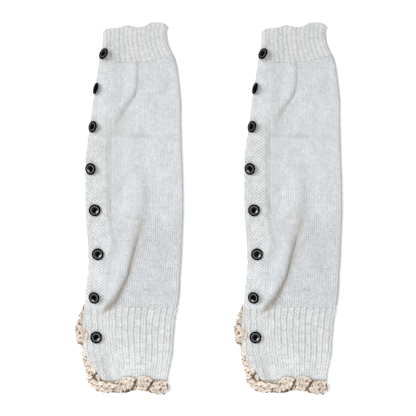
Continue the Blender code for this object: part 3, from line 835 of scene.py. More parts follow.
def knit_finish(name, stitch, low_tone, high_tone, bump_share=0.7):
    """White knit. The bump's stitches are a share of its height, the rest is twist and fuzz."""
    finish = Finish(
        name, Roughness=0.93, Sheen_Weight=0.15, Sheen_Roughness=0.6, Specular_IOR_Level=0.2)
    column, row = finish.stitch_place()
    to_side = abs(column.fraction() * 2.0 - 1.0)
    leg = (1 - to_side**6.0 * stitch.side) * (1 - to_side.bell(0.25) * stitch.middle)
    from_gap = 0.5 - abs((row - to_side * stitch.slant).fraction() - 0.5)
    loop = leg * (1 - from_gap.bell(stitch.gap) * stitch.cut)
    twist = ((row * 4.0 + to_side * 2.0) * (2.0 * math.pi)).sine() * 0.5 + 0.5
    fuzz = finish.noise(1500.0, 3.0)
    slub = finish.noise(520.0, 2.0)
    mottle = finish.noise(95.0, 3.0)
    height = loop * bump_share + twist * leg * 0.15 + fuzz * 0.45 + slub * 0.6
    tone = finish.mix(mottle.step(0.3, 0.7), low_tone, high_tone)
    # mixed in: the rib's white, painted shade in the grooves and under the fold, and fibres of
    # random tone
    for share, colour in (
        (finish.attribute("rib_yarn").clamped(), RIB_WHITE),
        (finish.attribute("deep").clamped() * 0.7, PAINTED_GROOVE_SHADE),
        (finish.attribute("shade").clamped() * 0.82, PAINTED_FOLD_SHADE),
        (slub.step(0.48, 0.30) * 0.18, DULL_FIBRE),
        (slub.step(0.52, 0.70) * 0.30, BRIGHT_FIBRE),
    ):
        tone = finish.mix(share, tone, colour)
    finish.use(colour=tone, height=height, distance=0.0007)
    return finish


leg_finish = knit_finish("fine_knit", FINE, (0.636, 0.660, 0.684), (0.694, 0.715, 0.736))
top_finish = knit_finish("top_rib_knit", RIBBED, (0.555, 0.566, 0.560), (0.603, 0.614, 0.608), 0.5)
rib_finish = knit_finish("rib_knit", DOUBLE, (0.568, 0.580, 0.578), (0.620, 0.632, 0.629), 0.6)
band_finish = knit_finish("band_knit", CHUNKY, (0.624, 0.640, 0.654), (0.679, 0.693, 0.704), 0.6)
print("knit finishes made")

# %% [markdown]
# ## The leg
#
# The leg is a fine plain knit with about 31 columns across its front. The columns run with the
# cloth, so they draw together a little where the leg narrows to its cuffs, and they are carried
# round the right fold. A shell of four points a column and three a row keeps every loop.

# %% Leg
LEG_COLUMNS = 31
LEG_ROWS = 145
LEG_STITCH = 0.78
LEG_SUNK = 0.42


def columns_at(count, up, along, level):
    """Columns counted from the seam: so many across the front, and as wide round the bend."""
    width = outline("right", up) - level / 2 - band_seam(up)
    bend = np.clip(along - 1.0, 0.0, 1.0) * np.pi * level / 2
    return count * (np.clip(along, 0.0, 1.0) + bend / width)


def leg_relief(base, along, fraction):
    """Fine plain knit, whose rows run with the seams at the leg's two ends.

    The count of columns starts at a quarter, so that the seam falls on a leg of a V.
    """
    across, up = base[..., 0], base[..., 1]
    column = 0.25 + columns_at(LEG_COLUMNS, up, along, LEG_HEIGHT)
    row = LEG_ROWS * fraction + 0.0 * column
    loop, loose = FINE.height(column, row), FINE.loose(column, row)
    clear = 0.65 + 0.45 * ease((10.0 - up) / 40.0)
    crest = bell((fold_at(up) - across - 11.0) / 6.0) * fold("swell", up)
    height = LEG_STITCH * loop * (1.0 + 0.45 * loose) * clear - LEG_SUNK
    # painted shade under the long fold, in the trough along the band's seam and in the creases
    shade = fold_shade(across, up) + seam_shade(across, up) + 0.33 * creases_at(across, up)
    # painted shade in the gaps between loops, less lower down where the loops are clearer, a little
    # random tone from loose loops, and painted light on the fold's crest
    deep = 1.25 * (1.0 - loop) * clear - 0.3 * (clear - 0.65) + 0.22 * loose - 0.08 * crest
    # painted light on the cloth between the band and the fold, below the middle
    deep = deep - 0.2 * bell((across + 12.0) / 14.0) * bell((up + 20.0) / 45.0)
    return height, np.stack([column, row], axis=-1), {"deep": deep, "shade": shade}


def moved(line, by):
    """An end line moved up the warmer."""
    return Curves("share up", [(share, up + by) for share, up in line.rows])


leg_piece = Piece(
    side=1, low=moved(BOTTOM_SEAM, SEAM_PLAY), high=moved(TOP_SEAM, -SEAM_PLAY), wall=2.2,
    radius=lambda up: np.full_like(up, LEG_HEIGHT / 2), height=leg_height)
knit_piece(
    "leg", leg_piece, leg_relief, leg_finish,
    grid=(LEG_COLUMNS * 4, 16, LEG_ROWS * 3), cut=(0.161, 0.278))

# %% [markdown]
# ## The ribbed cuffs
#
# Both cuffs pull the tube in with ribs. The top cuff has narrow ribs of one column, the bottom
# cuff wide ones. The ribs' ends make the top hem bumpy, and a row of small dots of painted shade
# marks the seam where the ribs are joined to the leg. Shade is painted grey into the grooves.

# %% Cuffs
TOP_RIBS = 12
TOP_ROWS = 17
TOP_LENGTH = 40.0
BOTTOM_RIBS = 11
BOTTOM_ROWS = 24
BOTTOM_LENGTH = 81.0
CUFF_WALL = 2.0


def rounded_end(from_end, radius=1.0):
    """How far a wall's outside falls towards a free end, as the quarter of a circle."""
    inside = np.clip(1.0 - from_end / radius, 0.0, 1.0)
    return radius * (1.0 - np.sqrt(1.0 - inside * inside))


def cuff_relief(stitch, ribs, rows, rib_height, bead, groove, groove_shade, fade, hem, length):
    """Relief of a ribbed cuff: round ribs with a column of loops on the back of each."""
    def relief(base, along, fraction):
        up = base[..., 1]
        count = columns_at(ribs, up, along, CUFF_HEIGHT)
        back = rib(count + 0.07 * np.sin(up / 7.3 + 1.7 * np.floor(count + 0.5)), groove)
        row = rows * fraction + 0.0 * count
        loop, loose = stitch.height(count, row), stitch.loose(count, row)
        strength = fade(base[..., 0], up)
        from_hem = (1.0 - fraction if hem == "top" else fraction) * length
        height = (
            rib_height * (back - 0.1) * strength
            + bead * loop * (1.0 + 0.3 * loose) * (0.35 + 0.65 * back)
            - 0.25 - 0.2 * bead - rounded_end(from_hem))
        # painted shade in the grooves between ribs and in the gaps between loops, and a little
        # random tone from loose loops
        deep = groove_shade * (1.0 - back) * strength + 0.6 * (1.0 - loop) * back + 0.2 * loose
        # greyer everywhere but towards the bottom hem
        deep = deep + 0.2 * ease((up + 168.0) / 24.0)
        # the long fold's painted shade runs on into the cuff
        shade = 0.8 * fold_shade(base[..., 0], up)
        if hem == "top":
            # painted shade: a row of dots along the seam with the leg, darkest in the grooves
            shade = shade + 0.32 * bell(fraction * length / 0.7) * (0.4 + 0.6 * (1.0 - back))
        return height, np.stack([count, row], axis=-1), {"deep": deep, "shade": shade}
    return relief


def top_fade(across, up):
    """Ribs of the top cuff flatten on the left, and are deepest right of the middle."""
    return 0.35 + 0.65 * ease((across + 22.0) / 10.0) + 0.25 * bell(across / 9.0)


def bottom_fade(across, up):
    """Ribs of the bottom cuff flatten towards the hem and the lower left corner."""
    corner = ease((across + 8.0 + (up + 150.0) * 0.5) / 16.0 + 0.5)
    return (0.5 + 0.5 * corner) * (0.22 + 0.78 * ease((up + 194.0) / 34.0))


cuff_radius = lambda up: np.full_like(up, CUFF_HEIGHT / 2)
top_cuff = Piece(1, moved(TOP_SEAM, SEAM_PLAY), TOP_HEM, CUFF_WALL, cuff_radius, cuff_height)
top_relief = cuff_relief(
    RIBBED, TOP_RIBS, TOP_ROWS, rib_height=0.45, bead=0.32, groove=0.17, groove_shade=0.75,
    fade=top_fade, hem="top", length=TOP_LENGTH)
knit_piece(
    "top_cuff", top_cuff, top_relief, top_finish,
    grid=(TOP_RIBS * 8, 16, 80), cut=(0.128, 0.040), coarse=(4, 4))

bottom_cuff = Piece(
    1, BOTTOM_HEM, moved(BOTTOM_SEAM, -SEAM_PLAY), CUFF_WALL, cuff_radius, cuff_height)
bottom_relief = cuff_relief(
    DOUBLE, BOTTOM_RIBS, BOTTOM_ROWS, rib_height=0.8, bead=1.1, groove=0.12, groove_shade=0.9,
    fade=bottom_fade, hem="bottom", length=BOTTOM_LENGTH)
knit_piece(
    "bottom_cuff", bottom_cuff, bottom_relief, rib_finish,
    grid=(BOTTOM_RIBS * 12, 16, BOTTOM_ROWS * 6), cut=(0.148, 0.081), coarse=(4, 4))

# %% [markdown]
# ## The button band
#
# The band is knitted in the same white with a thicker yarn, so its Vs are twice as large as the
# leg's. It is wrapped round the left fold. Its columns are counted from the seam, because the
# band keeps its width and only shows less of it where it rolls to the back.

# %% Band
BAND_COLUMN = 5.2
BAND_ROWS = 112
BAND_STITCH = 1.45
BAND_LENGTH = 394.0
RIBS_BEGIN = -110.0
RIB_PITCH = 6.7
FINER_COLUMN = 2.43
FINER_ROWS = 205
FINER_BEGINS = 85.0
TOP_CUFF_BEGINS = 162.0
TOP_RIB_PITCH = 5.0


def band_relief(base, along, fraction):
    """Large plain knit on the band, counted in columns from the seam.

    Its upper part is worked finer and lies quieter. Beside the cuffs their ribs run on over it.
    """
    across, up = base[..., 0], base[..., 1]
    reached = length_along(base)
    column = 0.25 + reached / BAND_COLUMN
    row = BAND_ROWS * fraction + 0.0 * column
    plain, loose = CHUNKY.height(column, row), CHUNKY.loose(column, row)
    count = reached / RIB_PITCH
    ribbed, legs_of_rib = rib(count, 0.14), DOUBLE.height(count, row)
    finer = FINE.height(reached / FINER_COLUMN, FINER_ROWS * fraction + 0.0 * column)
    top_rib = rib(reached / TOP_RIB_PITCH)
    on_cuff = ease((RIBS_BEGIN - up) / 5.0)
    on_top_cuff = ease((up - TOP_CUFF_BEGINS) / 4.0)
    quiet = 1.0 - 0.65 * ease((up - FINER_BEGINS) / 26.0)
    fade = (1.0 - 0.3 * ease((-148.0 - up) / 18.0)) * on_cuff * ease(reached / 3.0)
    settled = 0.45 + 0.55 * ease(reached / 5.0)
    from_hem = np.minimum(fraction, 1.0 - fraction) * BAND_LENGTH
    height = (
        BAND_STITCH * plain * (1.0 + 0.3 * loose) * quiet * settled * (1.0 - 0.25 * on_cuff)
        + (0.5 * ribbed + 0.6 * legs_of_rib) * fade
        + 0.45 * finer * (1.0 - quiet) * (1.0 - on_top_cuff)
        + 0.25 * on_top_cuff * (top_rib - 0.5)
        - 0.2 - 0.3 * quiet * settled - rounded_end(from_hem, 1.2))
    # painted shade in the gaps between loops and in the ribs' grooves, a little random tone from
    # loose loops, painted shade where the band turns round the left fold, lighter on its lower half
    # and darker again near the bottom, and greyer beside the top cuff, with painted shade in that
    # cuff's grooves
    deep = (
        1.2 * (1.0 - plain) * quiet * (1.0 - 0.75 * on_cuff)
        + (1.2 * (1.0 - ribbed) + 0.5 * (1.0 - legs_of_rib)) * fade
        + 1.1 * (1.0 - finer) * (1.0 - quiet) * (1.0 - on_top_cuff)
        + 0.2 * loose + 0.5 * ease((along - 0.7) / 0.7) - 0.35 * ease((-50.0 - up) / 30.0)
        + on_top_cuff * (0.2 + 0.6 * (1.0 - top_rib)) + 0.25 * ease((-152.0 - up) / 18.0))
    # painted shade of the fold and of the seam's trough, on the front only
    shade = np.maximum(seam_shade(across, up), fold_shade(across, up)) * (along < 1.0)
    values = {"deep": deep, "shade": shade, "rib_yarn": 0.9 * on_cuff}
    return height, np.stack([column, row], axis=-1), values


band_piece = Piece(
    side=-1, low=BOTTOM_HEM, high=TOP_HEM, wall=3.0,
    radius=lambda up: outline("crown", up) / 2, height=band_height)
knit_piece(
    "placket", band_piece, band_relief, band_finish,
    grid=(40, 24, BAND_ROWS * 5), cut=(0.064, 0.402), under=6)

# %% [markdown]
# ## The buttons
#
# A button is turned from black plastic: a flat back with a short shank, a thick rounded rim, a
# narrow grey ring let into the step inside it, and a dish whose polished sides mirror the lamp.
# The imported buttons give place and direction: their points spread least along the axis. The
# upper four and the seventh are packed flatter than the narrow ovals that they show from above,
# so these lean further here to match them. Each button is then let down until it meets the band,
# a tipped one until its rim presses into the loops, and its shank reaches towards the cloth, the
# less the more it is tipped. The ring's grey is partly painted reflection, so it fades as a
# button tips, and the dish's polish fades with the tilt too.

# %% Button shape and finish
BUTTON_RADIUS = 6.7
BUTTON_SIDES = 48
BUTTON_PROFILE = np.array([
    # share of the radius, height over the back
    (0, -1), (0.11, -1), (0.14, -0.9), (0.14, -0.1), (0.24, 0),
    (0.4, 0), (0.78, 0), (0.88, 0.15), (0.96, 0.5), (1, 1),
    (0.995, 1.45), (0.965, 1.9), (0.92, 2.2), (0.87, 2.34), (0.82, 2.3), (0.775, 2.1),
    (0.735, 1.86), (0.695, 1.74), (0.685, 1.8), (0.665, 1.9), (0.645, 1.93), (0.625, 1.86),
    (0.615, 1.74), (0.605, 1.66), (0.575, 1.6), (0.53, 1.51), (0.45, 1.35), (0.36, 1.18),
    (0.24, 1.06), (0.12, 1.02), (0, 1.01),
])
# the ring and the polished side of the dish, in shares of the radius, and the last row of the rim
RING = (0.62, 0.69)
POLISHED = (0.44, 0.59)
RIM_ROW = 12

button_finish = Finish(
    "black_button", Roughness=0.3, Coat_Weight=0.1, Coat_Roughness=0.05, Coat_IOR=1.65,
    Specular_IOR_Level=0.0)
ring = button_finish.attribute("ring").clamped()
polish = button_finish.attribute("polish").clamped()
button_finish.feed(button_finish.shader.inputs["Coat Weight"], polish * 0.97 + 0.02)
wear = button_finish.noise(900.0, 3.0)
# the ring is grey, partly its own colour and partly painted reflection, so its mask fades on tipped
# buttons
button_finish.use(
    colour=button_finish.mix(ring, (0.001, 0.001, 0.0015), (0.22, 0.225, 0.235)),
    roughness=wear * 0.10 + 0.25,
    height=wear, distance=0.00004, strength=0.5)


def round_axis(axis):
    """Directions at right angles to an axis, all the way round it."""
    first = np.cross(axis, [0.0, 1.0, 0.0])
    first /= np.linalg.norm(first)
    second = np.cross(axis, first)
    turn = 2 * np.pi * np.arange(BUTTON_SIDES) / BUTTON_SIDES
    return np.cos(turn)[:, None] * first + np.sin(turn)[:, None] * second


def button_points(middle, axis, shank):
    """The profile turned about an axis through the middle of the button's back."""
    height = BUTTON_PROFILE[:, 1] * np.where(BUTTON_PROFILE[:, 1] < 0, shank, 1.0)
    sides = BUTTON_PROFILE[1:-1, 0, None, None] * BUTTON_RADIUS * round_axis(axis)
    sides = sides + height[1:-1, None, None] * axis
    return np.concatenate([sides.reshape(-1, 3), height[[0, -1], None] * axis]) + middle


def button_faces():
    """Faces of the turned profile: bands between rings, and a fan at each end."""
    rings = len(BUTTON_PROFILE) - 2
    number = np.arange(rings * BUTTON_SIDES).reshape(rings, BUTTON_SIDES)
    number = np.concatenate([number, number[:, :1]], axis=1)
    back, front = rings * BUTTON_SIDES, rings * BUTTON_SIDES + 1
    fan_back = np.stack([np.full(BUTTON_SIDES, back), number[0, 1:], number[0, :-1]], axis=-1)
    fan_front = np.stack([np.full(BUTTON_SIDES, front), number[-1, :-1], number[-1, 1:]], axis=-1)
    return [grid_faces(number), fan_back, fan_front]


def front_mask(low, high):
    """One between two shares of the radius, at the points of a button inside its rim."""
    share, row = BUTTON_PROFILE[:, 0], np.arange(len(BUTTON_PROFILE))
    mask = ((share > low) & (share < high) & (row > RIM_ROW)).astype(float)
    return np.concatenate([np.repeat(mask[1:-1], BUTTON_SIDES), mask[[0, -1]]])


def packed_seat(node):
    """The middle of a packed button's back in millimetres, and the button's axis."""
    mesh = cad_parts[node].data
    points = np.zeros(len(mesh.vertices) * 3, np.float32)
    mesh.vertices.foreach_get("co", points)
    points = points.reshape(-1, 3).astype(float) / MM
    centre = points.mean(axis=0)
    axis = np.linalg.svd(points - centre)[2][2]
    axis = axis * np.sign(axis[2])
    return centre + axis * ((points - centre) @ axis).min(), axis


def leant(axis, lean, twist):
    """An axis that leans further and turns, both in degrees, and its tilt in radians."""
    tilt = math.acos(axis[2]) + math.radians(lean)
    bearing = math.atan2(axis[1], axis[0]) if axis[2] < 0.999 else math.pi
    bearing += math.radians(twist)
    flat = math.sin(tilt)
    return np.array([math.cos(bearing) * flat, math.sin(bearing) * flat, math.cos(tilt)]), tilt


def room(cloth, point, way):
    """Free way in millimetres from a point to the cloth, 20 where the cloth isn't met."""
    met, place, *_ = cloth.ray_cast(point * MM, way)
    return np.linalg.norm(np.array(place) / MM - point) if met else 20.0


print("button profile has", len(BUTTON_PROFILE), "rows")

# %% Turn the buttons
SETTLED = (
    # how far each button has slid across and up, and by how many degrees it leans and turns
    (2.7, -1.9, 14, -6), (1.3, -0.7, 18, -7), (1.1, -0.4, 14, -5),
    (0.6, 0.1, 11, 6), (0.2, 0.3, 0, 0), (0, 0.4, 0, 0), (0.8, 0.6, 18, 19),
    (-0.3, 0.2, 0, 0),
)
LIFTED = 8.0
PROBED = (0.0, 0.4, 0.8, 0.97)
RIM_PRESSED = 0.9
LONGEST_SHANK = 3.4
SHANK_SUNK = 0.5

bpy.context.view_layer.update()
for side in SIDES:
    band = bpy.data.objects[f"{side}_placket_knit"]
    for number, (slid, moved_up, lean, twist) in enumerate(SETTLED, start=1):
        node = f"{side}_button_{number}"
        middle, axis = packed_seat(node)
        axis, tilt = leant(axis, lean, twist)
        middle += [slid, moved_up, LIFTED]
        under = [middle + share * BUTTON_RADIUS * way
                 for share in PROBED for way in round_axis(axis)[::3]]
        middle[2] -= min(room(band, point, (0.0, 0.0, -1.0)) for point in under)
        middle[2] -= RIM_PRESSED * math.sin(tilt)
        longest = LONGEST_SHANK * math.cos(tilt)
        shank = min(room(band, middle, tuple(-axis)), longest) + SHANK_SUNK
        # the ring's painted reflection fades with the tilt, and the dish's coat fades faster
        mesh = make_mesh(
            node, button_points(middle, axis, shank), button_faces(), button_finish, values={
                "ring": front_mask(*RING) * math.cos(tilt),
                "polish": front_mask(*POLISHED) * math.cos(tilt) ** 4})
        button = add_object(f"{node}_turned", mesh)
        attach(button, "root")
        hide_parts(node)
        print(f"{node}: tips {math.degrees(tilt):.0f} degrees, shank {shank:.1f} mm")

# %% [markdown]
# ## The crocheted lace
#
# The lace is a cotton ribbon worked with a hook: close cords run aslant from its sewn edge to
# its free one, chains cross them, and small eyelets lie between them, sunk, with painted shade in
# them. It is gathered as it is sewn on, so it ruffles into leaves that overlap each other, with
# shade painted brown into the gaps between them. Each strip here is a thin web, painted part way
# into shade, with the yarn laid over it as tubes. The map from ribbon to space is a table of
# its two edges, and the ruffles and eyelets are then added at their own places.

# %% Lace finish
lace_finish = Finish("cream_lace", Roughness=0.92, Sheen_Weight=0.1, Specular_IOR_Level=0.2)
grain = lace_finish.noise(900.0, 3.0)
patches = lace_finish.noise(160.0, 2.0)
flecks = lace_finish.noise(420.0, 2.0)
cream = lace_finish.mix(patches.step(0.3, 0.7), (0.69, 0.615, 0.53), (0.83, 0.765, 0.69))
cream = lace_finish.mix(flecks.step(0.54, 0.68) * 0.5, cream, (0.38, 0.28, 0.19))
# painted shade: dark brown in the eyelets, in the gaps of the ruffles, under the free edge, and
# over the web and the lower strip
cream = lace_finish.mix(lace_finish.attribute("deep").clamped(), cream, (0.155, 0.09, 0.05))
lace_finish.use(colour=cream, height=grain, distance=0.0006, strength=0.9)
print("lace finish made")

# %% Ruffles and eyelets
LACE_FOLDS = (
    # two ends across and up, half width, lift on the left, drop on the right, darkness of the
    # painted shade
    (7.8, -191.5, 3, -203, 1.3, 1.8, 0.9, 1),
    (27.2, -192.8, 18.6, -205.8, 1.3, 2, 1, 1),
    (-9, -196, -12.5, -206, 0.8, -0.3, -0.7, 0.35),
    (-34.5, -181, -42, -192, 1.2, 0.9, 0.9, 1),
    (-41.5, -187, -35.5, -194.6, 1, 0.3, 0.6, 0.9),
    (-32, -193.2, -24.5, -195.8, 0.8, 0, 0.5, 0.6),
    (-22.8, -195.2, -12, -197.2, 0.8, 0, 0.4, 0.7),
    (-52.8, -167.4, -46.8, -167.4, 0.6, 0.4, 0.3, 0.8),
    (-49.5, -175.5, -44, -178, 0.7, 0.5, 0.3, 0.45),
    (29, -193.8, 36.5, -193.6, 0.6, 0, 0.3, 0.55),
    (42.2, -197, 45.4, -207, 1.4, 0.4, 0.8, 0.7),
    (15, -199.8, 18.5, -200.4, 0.7, 0.2, 0.3, 0.55),
    (-57.6, -150.8, -49, -152.4, 0.9, 0, 0.5, 0.9),
    (-47.8, -147.6, -50.6, -154.6, 0.9, 0.4, 0.5, 0.9),
    (-59.5, -129.5, -51.5, -132.5, 0.8, 0.3, 0.4, 0.35),
    (-52, -108.5, -50.2, -119.5, 0.7, 0.3, 0, 0.45),
)
EYELETS = (
    # across, up, half width
    (-30.2, -199.4, 0.8), (-21.8, -199.4, 0.7), (-17.4, -202.9, 0.9), (-8.4, -197.3, 0.9),
    (8.6, -199.6, 0.8), (20.9, -193.8, 0.9), (35.3, -202.9, 0.8), (34, -197.5, 0.6),
    (-1.5, -196, 0.6), (2, -193.6, 0.5), (13, -196, 0.6), (-43.8, -184.4, 0.8),
    (-48.2, -170.6, 0.7), (-49.8, -112.2, 0.7), (-49.9, -118.6, 0.8), (-55.4, -129.9, 0.9),
    (-54.8, -139.8, 1), (-57.4, -124, 0.6), (-53.2, -145.2, 0.6), (-36, -198.8, 0.6),
    (-26, -203, 0.6), (27.6, -199.4, 0.6), (39.6, -199, 0.6), (-57.8, -135.4, 0.6),
)
LUMPS = (
    # height, direction, length, start
    (0.3, 0.5, 5.3, 0), (0.26, 1.9, 4.1, 2), (0.22, 2.7, 6.4, 4), (0.18, 1.2, 3.1, 1),
)


def fold_step(across, up, line):
    """Where points lie by a short line: their place beside it, and one within its length."""
    left, high, right, low = line
    length = math.hypot(right - left, low - high)
    ahead, rise = (right - left) / length, (low - high) / length
    along = (across - left) * ahead + (up - high) * rise
    beside = (up - high) * ahead - (across - left) * rise
    return beside, ease((along + 1.5) / 1.5) * ease((length + 1.5 - along) / 1.5)


def ruffle_at(across, up):
    """Height that the ruffles and eyelets add to the lace, and the shade painted there."""
    height, dark = np.zeros_like(across), np.zeros_like(across)
    for *line, width, lift, drop, depth in LACE_FOLDS:
        beside, within = fold_step(across, up, line)
        over = ease(0.5 - beside / 0.8)
        rise = lift * over * bell(beside / 5.0) - drop * (1 - over) * bell(beside / 2.5)
        height += within * rise
        # painted shade in the gap under each fold
        dark = np.maximum(dark, within * depth * bell((beside - 0.4 * width) / width))
    for size, turn, wave, start in LUMPS:
        phase = (across * math.cos(turn) + up * math.sin(turn)) * 2 * np.pi / wave + start
        height += size * np.sin(phase)
        # painted shade that rises and falls with the lumps
        dark = dark + 0.10 * np.sin(phase)
    for middle, level, width in EYELETS:
        pit = ease(1.7 - np.hypot(across - middle, up - level) / (1.25 * width))
        height -= 0.9 * pit
        # painted shade in each eyelet, beside its real pit
        dark = np.maximum(dark, pit)
    return height, dark


print("ruffles:", len(LACE_FOLDS), "eyelets:", len(EYELETS))

# %% Ribbon of lace
LACE_WALL = 1.5
LACE_TUCK = 0.3
FALL_FROM = 0.375


class Ribbon:
    """A strip of lace between a sewn edge and a free edge, each a row of points.

    Its places are counted in millimetres along its middle and as a share of the way from the
    sewn edge to the free one. It stays level with its sewn edge at first, then falls to the
    free edge, and is crowned at every second row.
    """

    def __init__(self, inner, outer, crown, lean, shaded=0.0):
        inner, outer = np.array(inner, float), np.array(outer, float)
        middle = (inner + outer) / 2
        steps = np.linalg.norm(np.diff(middle[:, :2], axis=0), axis=1)
        self.length = steps.sum()
        self.lean = lean
        # shaded: painted shade over the whole strip, which also flattens its ruffles
        self.shaded = shaded
        along = np.concatenate([[0.0], np.cumsum(steps)])
        rows = np.column_stack([along, inner, outer, crown]).tolist()
        self.curves = Curves("along ix iy iz ox oy oz crown", rows)

    def edges(self, along):
        """Points of the sewn edge and of the free one."""
        return [np.stack([self.curves(edge + axis, along) for axis in "xyz"], axis=-1)
                for edge in "io"]

    def depth(self, along):
        """How far it is from the sewn edge to the free one."""
        inner, outer = self.edges(along)
        return np.hypot(*np.moveaxis(outer - inner, -1, 0)[:2])

    def lay(self, along, share):
        """Points of the ribbon's middle layer, and the shade painted there."""
        along, share = np.broadcast_arrays(np.asarray(along, float), np.asarray(share, float))
        inner, outer = self.edges(along)
        points = inner + (outer - inner) * share[..., None]
        fall = ease((share - FALL_FROM) / (1.0 - FALL_FROM))
        height = inner[..., 2] + (outer[..., 2] - inner[..., 2]) * fall
        crown = self.curves("crown", along) * np.sin(np.pi * np.clip(share, 0.0, 1.0))
        ruffle, dark = ruffle_at(points[..., 0], points[..., 1])
        points[..., 2] = height + crown + LACE_WALL / 2 + (1.0 - self.shaded) * ruffle
        return points, np.maximum(dark, self.shaded)

    def normal(self, along, share):
        """Unit normals, upwards, from the points a little to each side, along and across."""
        forward = self.lay(along + 0.2, share)[0] - self.lay(along - 0.2, share)[0]
        outward = self.lay(along, share + 0.02)[0] - self.lay(along, share - 0.02)[0]
        normal = np.cross(forward, outward)
        normal *= np.sign(normal[..., 2:])
        return normal / np.linalg.norm(normal, axis=-1, keepdims=True)


def tubes(centre, normal, radius, sides):
    """Closed tubes round lines of points: rings of points, joined, with a lid at each end."""
    forward = np.gradient(centre, axis=1)
    forward /= np.linalg.norm(forward, axis=-1, keepdims=True)
    beside = np.cross(normal, forward)
    beside /= np.linalg.norm(beside, axis=-1, keepdims=True)
    above = np.cross(forward, beside)
    turn = 2 * np.pi * np.arange(sides) / sides
    radius = np.broadcast_to(radius, centre.shape[:2])[:, :, None, None]
    points = centre[:, :, None] + radius * (
        np.cos(turn)[:, None] * beside[:, :, None] + np.sin(turn)[:, None] * above[:, :, None])
    lines, length = centre.shape[:2]
    number = np.arange(lines * length * sides).reshape(lines, length, sides)
    walls = grid_faces(np.concatenate([number, number[..., :1]], axis=-1))
    return points.reshape(-1, 3), walls, np.concatenate([number[:, 0, ::-1], number[:, -1]])


print("ribbon and yarn ready")

# %% Crochet pattern
YARN_SIDES = 6
CORD_PITCH = 1.25
CORD_RADIUS = 0.50
BEAD_LENGTH = 1.7
CHAIN_PITCH = 2.3
BUMP_PITCH = 3.9


def free_edge(along):
    """Share of the ribbon at its free edge: round bumps, with deeper notches between some."""
    bump = np.abs(np.sin(np.pi * along / BUMP_PITCH + 0.8 * np.sin(along * 0.61)))
    uneven = 0.5 + 0.5 * np.sin(along * 0.83 + 1.0) * np.cos(along * 0.37)
    return 1.03 - (0.12 + 0.30 * uneven) * (1.0 - bump)


def chain(ribbon, share, start, points_each=7):
    """Two strands that cross each other once a stitch, along the whole ribbon."""
    stitches = int(ribbon.length / CHAIN_PITCH)
    along = np.linspace(0.0, ribbon.length, stitches * points_each)
    swing = np.pi * along / CHAIN_PITCH + start
    width = 0.5 / ribbon.depth(along)
    wander = 0.03 * np.sin(along * 0.9 + start)
    return np.stack([
        np.stack([along, share(along) + wander + sign * width * np.sin(swing),
                  0.42 + 0.22 * sign * np.cos(swing)], axis=-1)
        for sign in (-1.0, 1.0)])


def cords(ribbon, points_each=13):
    """Close cords from the sewn edge to the free one, which lean as the ribbon is pulled."""
    count = int(ribbon.length / CORD_PITCH)
    foot = (np.arange(count) + 0.5) * ribbon.length / count
    lean = ribbon.lean * ease(np.minimum(foot, ribbon.length - foot) / 7.0)
    step = np.linspace(0.0, 1.0, points_each)
    along = foot[:, None] + lean[:, None] * (step - 0.5)
    along = along + 0.25 * np.sin(step * 7.0 + foot[:, None] * 2.3)
    share = 0.01 + (free_edge(along) - 0.03) * step
    height = 0.22 + 0.14 * np.sin(foot[:, None] * 4.1) + 0.0 * along
    return np.stack([along, share, height], axis=-1)


def crochet(name, ribbon):
    """The yarn of one strip: cords, and chains at its two edges and along its middle."""
    groups = (
        (cords(ribbon), CORD_RADIUS),
        (chain(ribbon, lambda along: 0.06 + 0.0 * along, 0.0), 0.46),
        (chain(ribbon, lambda along: 0.48 + 0.0 * along, 1.0), 0.42),
        (chain(ribbon, lambda along: free_edge(along) - 0.04, 2.0), 0.52),
    )
    points, walls, lids, deep, start = [], [], [], [], 0
    for path, radius in groups:
        along, share, height = np.moveaxis(path, -1, 0)
        normal = ribbon.normal(along, share)
        middle, dark = ribbon.lay(along, share)
        bead = np.sin(2 * np.pi * share * ribbon.depth(along) / BEAD_LENGTH + along * 5.0)
        block, wall, lid = tubes(
            middle + normal * height[..., None], normal, radius * (1.0 + 0.2 * bead), YARN_SIDES)
        points.append(block)
        walls.append(wall + start)
        lids.append(lid + start)
        # painted shade under the free edge at places, and between the yarn's beads
        low_edge = 0.75 * ease((share - 0.82) / 0.18) * ease(0.2 + np.sin(along * 0.45 + 1.0))
        dark = 1.3 * dark + 0.25 * (bead < -0.4) + low_edge
        deep.append(np.repeat(dark, YARN_SIDES, axis=-1).ravel())
        start += len(block)
    points = np.concatenate(points)
    points[:, 2] = np.maximum(points[:, 2], 0.02)
    return make_mesh(name, points, walls + lids, lace_finish, values={"deep": np.concatenate(deep)})


def web(name, ribbon, spacing=0.9, rows=18):
    """The thin closed web under the yarn, painted part way into shade as the shade between the
    cords.
    """
    along = np.linspace(0.0, ribbon.length, int(ribbon.length / spacing) + 1)[None, :]
    step = np.linspace(0.0, 1.0, rows + 1)[:, None]
    share = step * (free_edge(along) - 0.02)
    middle, dark = ribbon.lay(along, share)
    normal = ribbon.normal(along, share)
    top = middle + normal * 0.1
    under = middle - normal * 0.45
    for grid in (top, under):
        grid[..., 2] = np.maximum(grid[..., 2], 0.0)
    top[..., 2] = np.maximum(top[..., 2], under[..., 2] + 0.1)
    number, below = number_grids(top, under)
    faces = [
        grid_faces(number)[:, ::-1], grid_faces(below),
        strip_faces(number[0], below[0], 1), strip_faces(number[-1], below[-1], 1)[:, ::-1],
        strip_faces(number[:, 0], below[:, 0], 1)[:, ::-1],
        strip_faces(number[:, -1], below[:, -1], 1),
    ]
    # the whole web is painted part way into shade, as the shade between the yarn over it
    deep = np.clip(0.35 + dark, 0.0, 1.0)
    points = np.concatenate([top.reshape(-1, 3), under.reshape(-1, 3)])
    return make_mesh(
        name, points, faces, lace_finish, values={"deep": np.concatenate([deep.ravel()] * 2)})


print("crochet pattern ready")

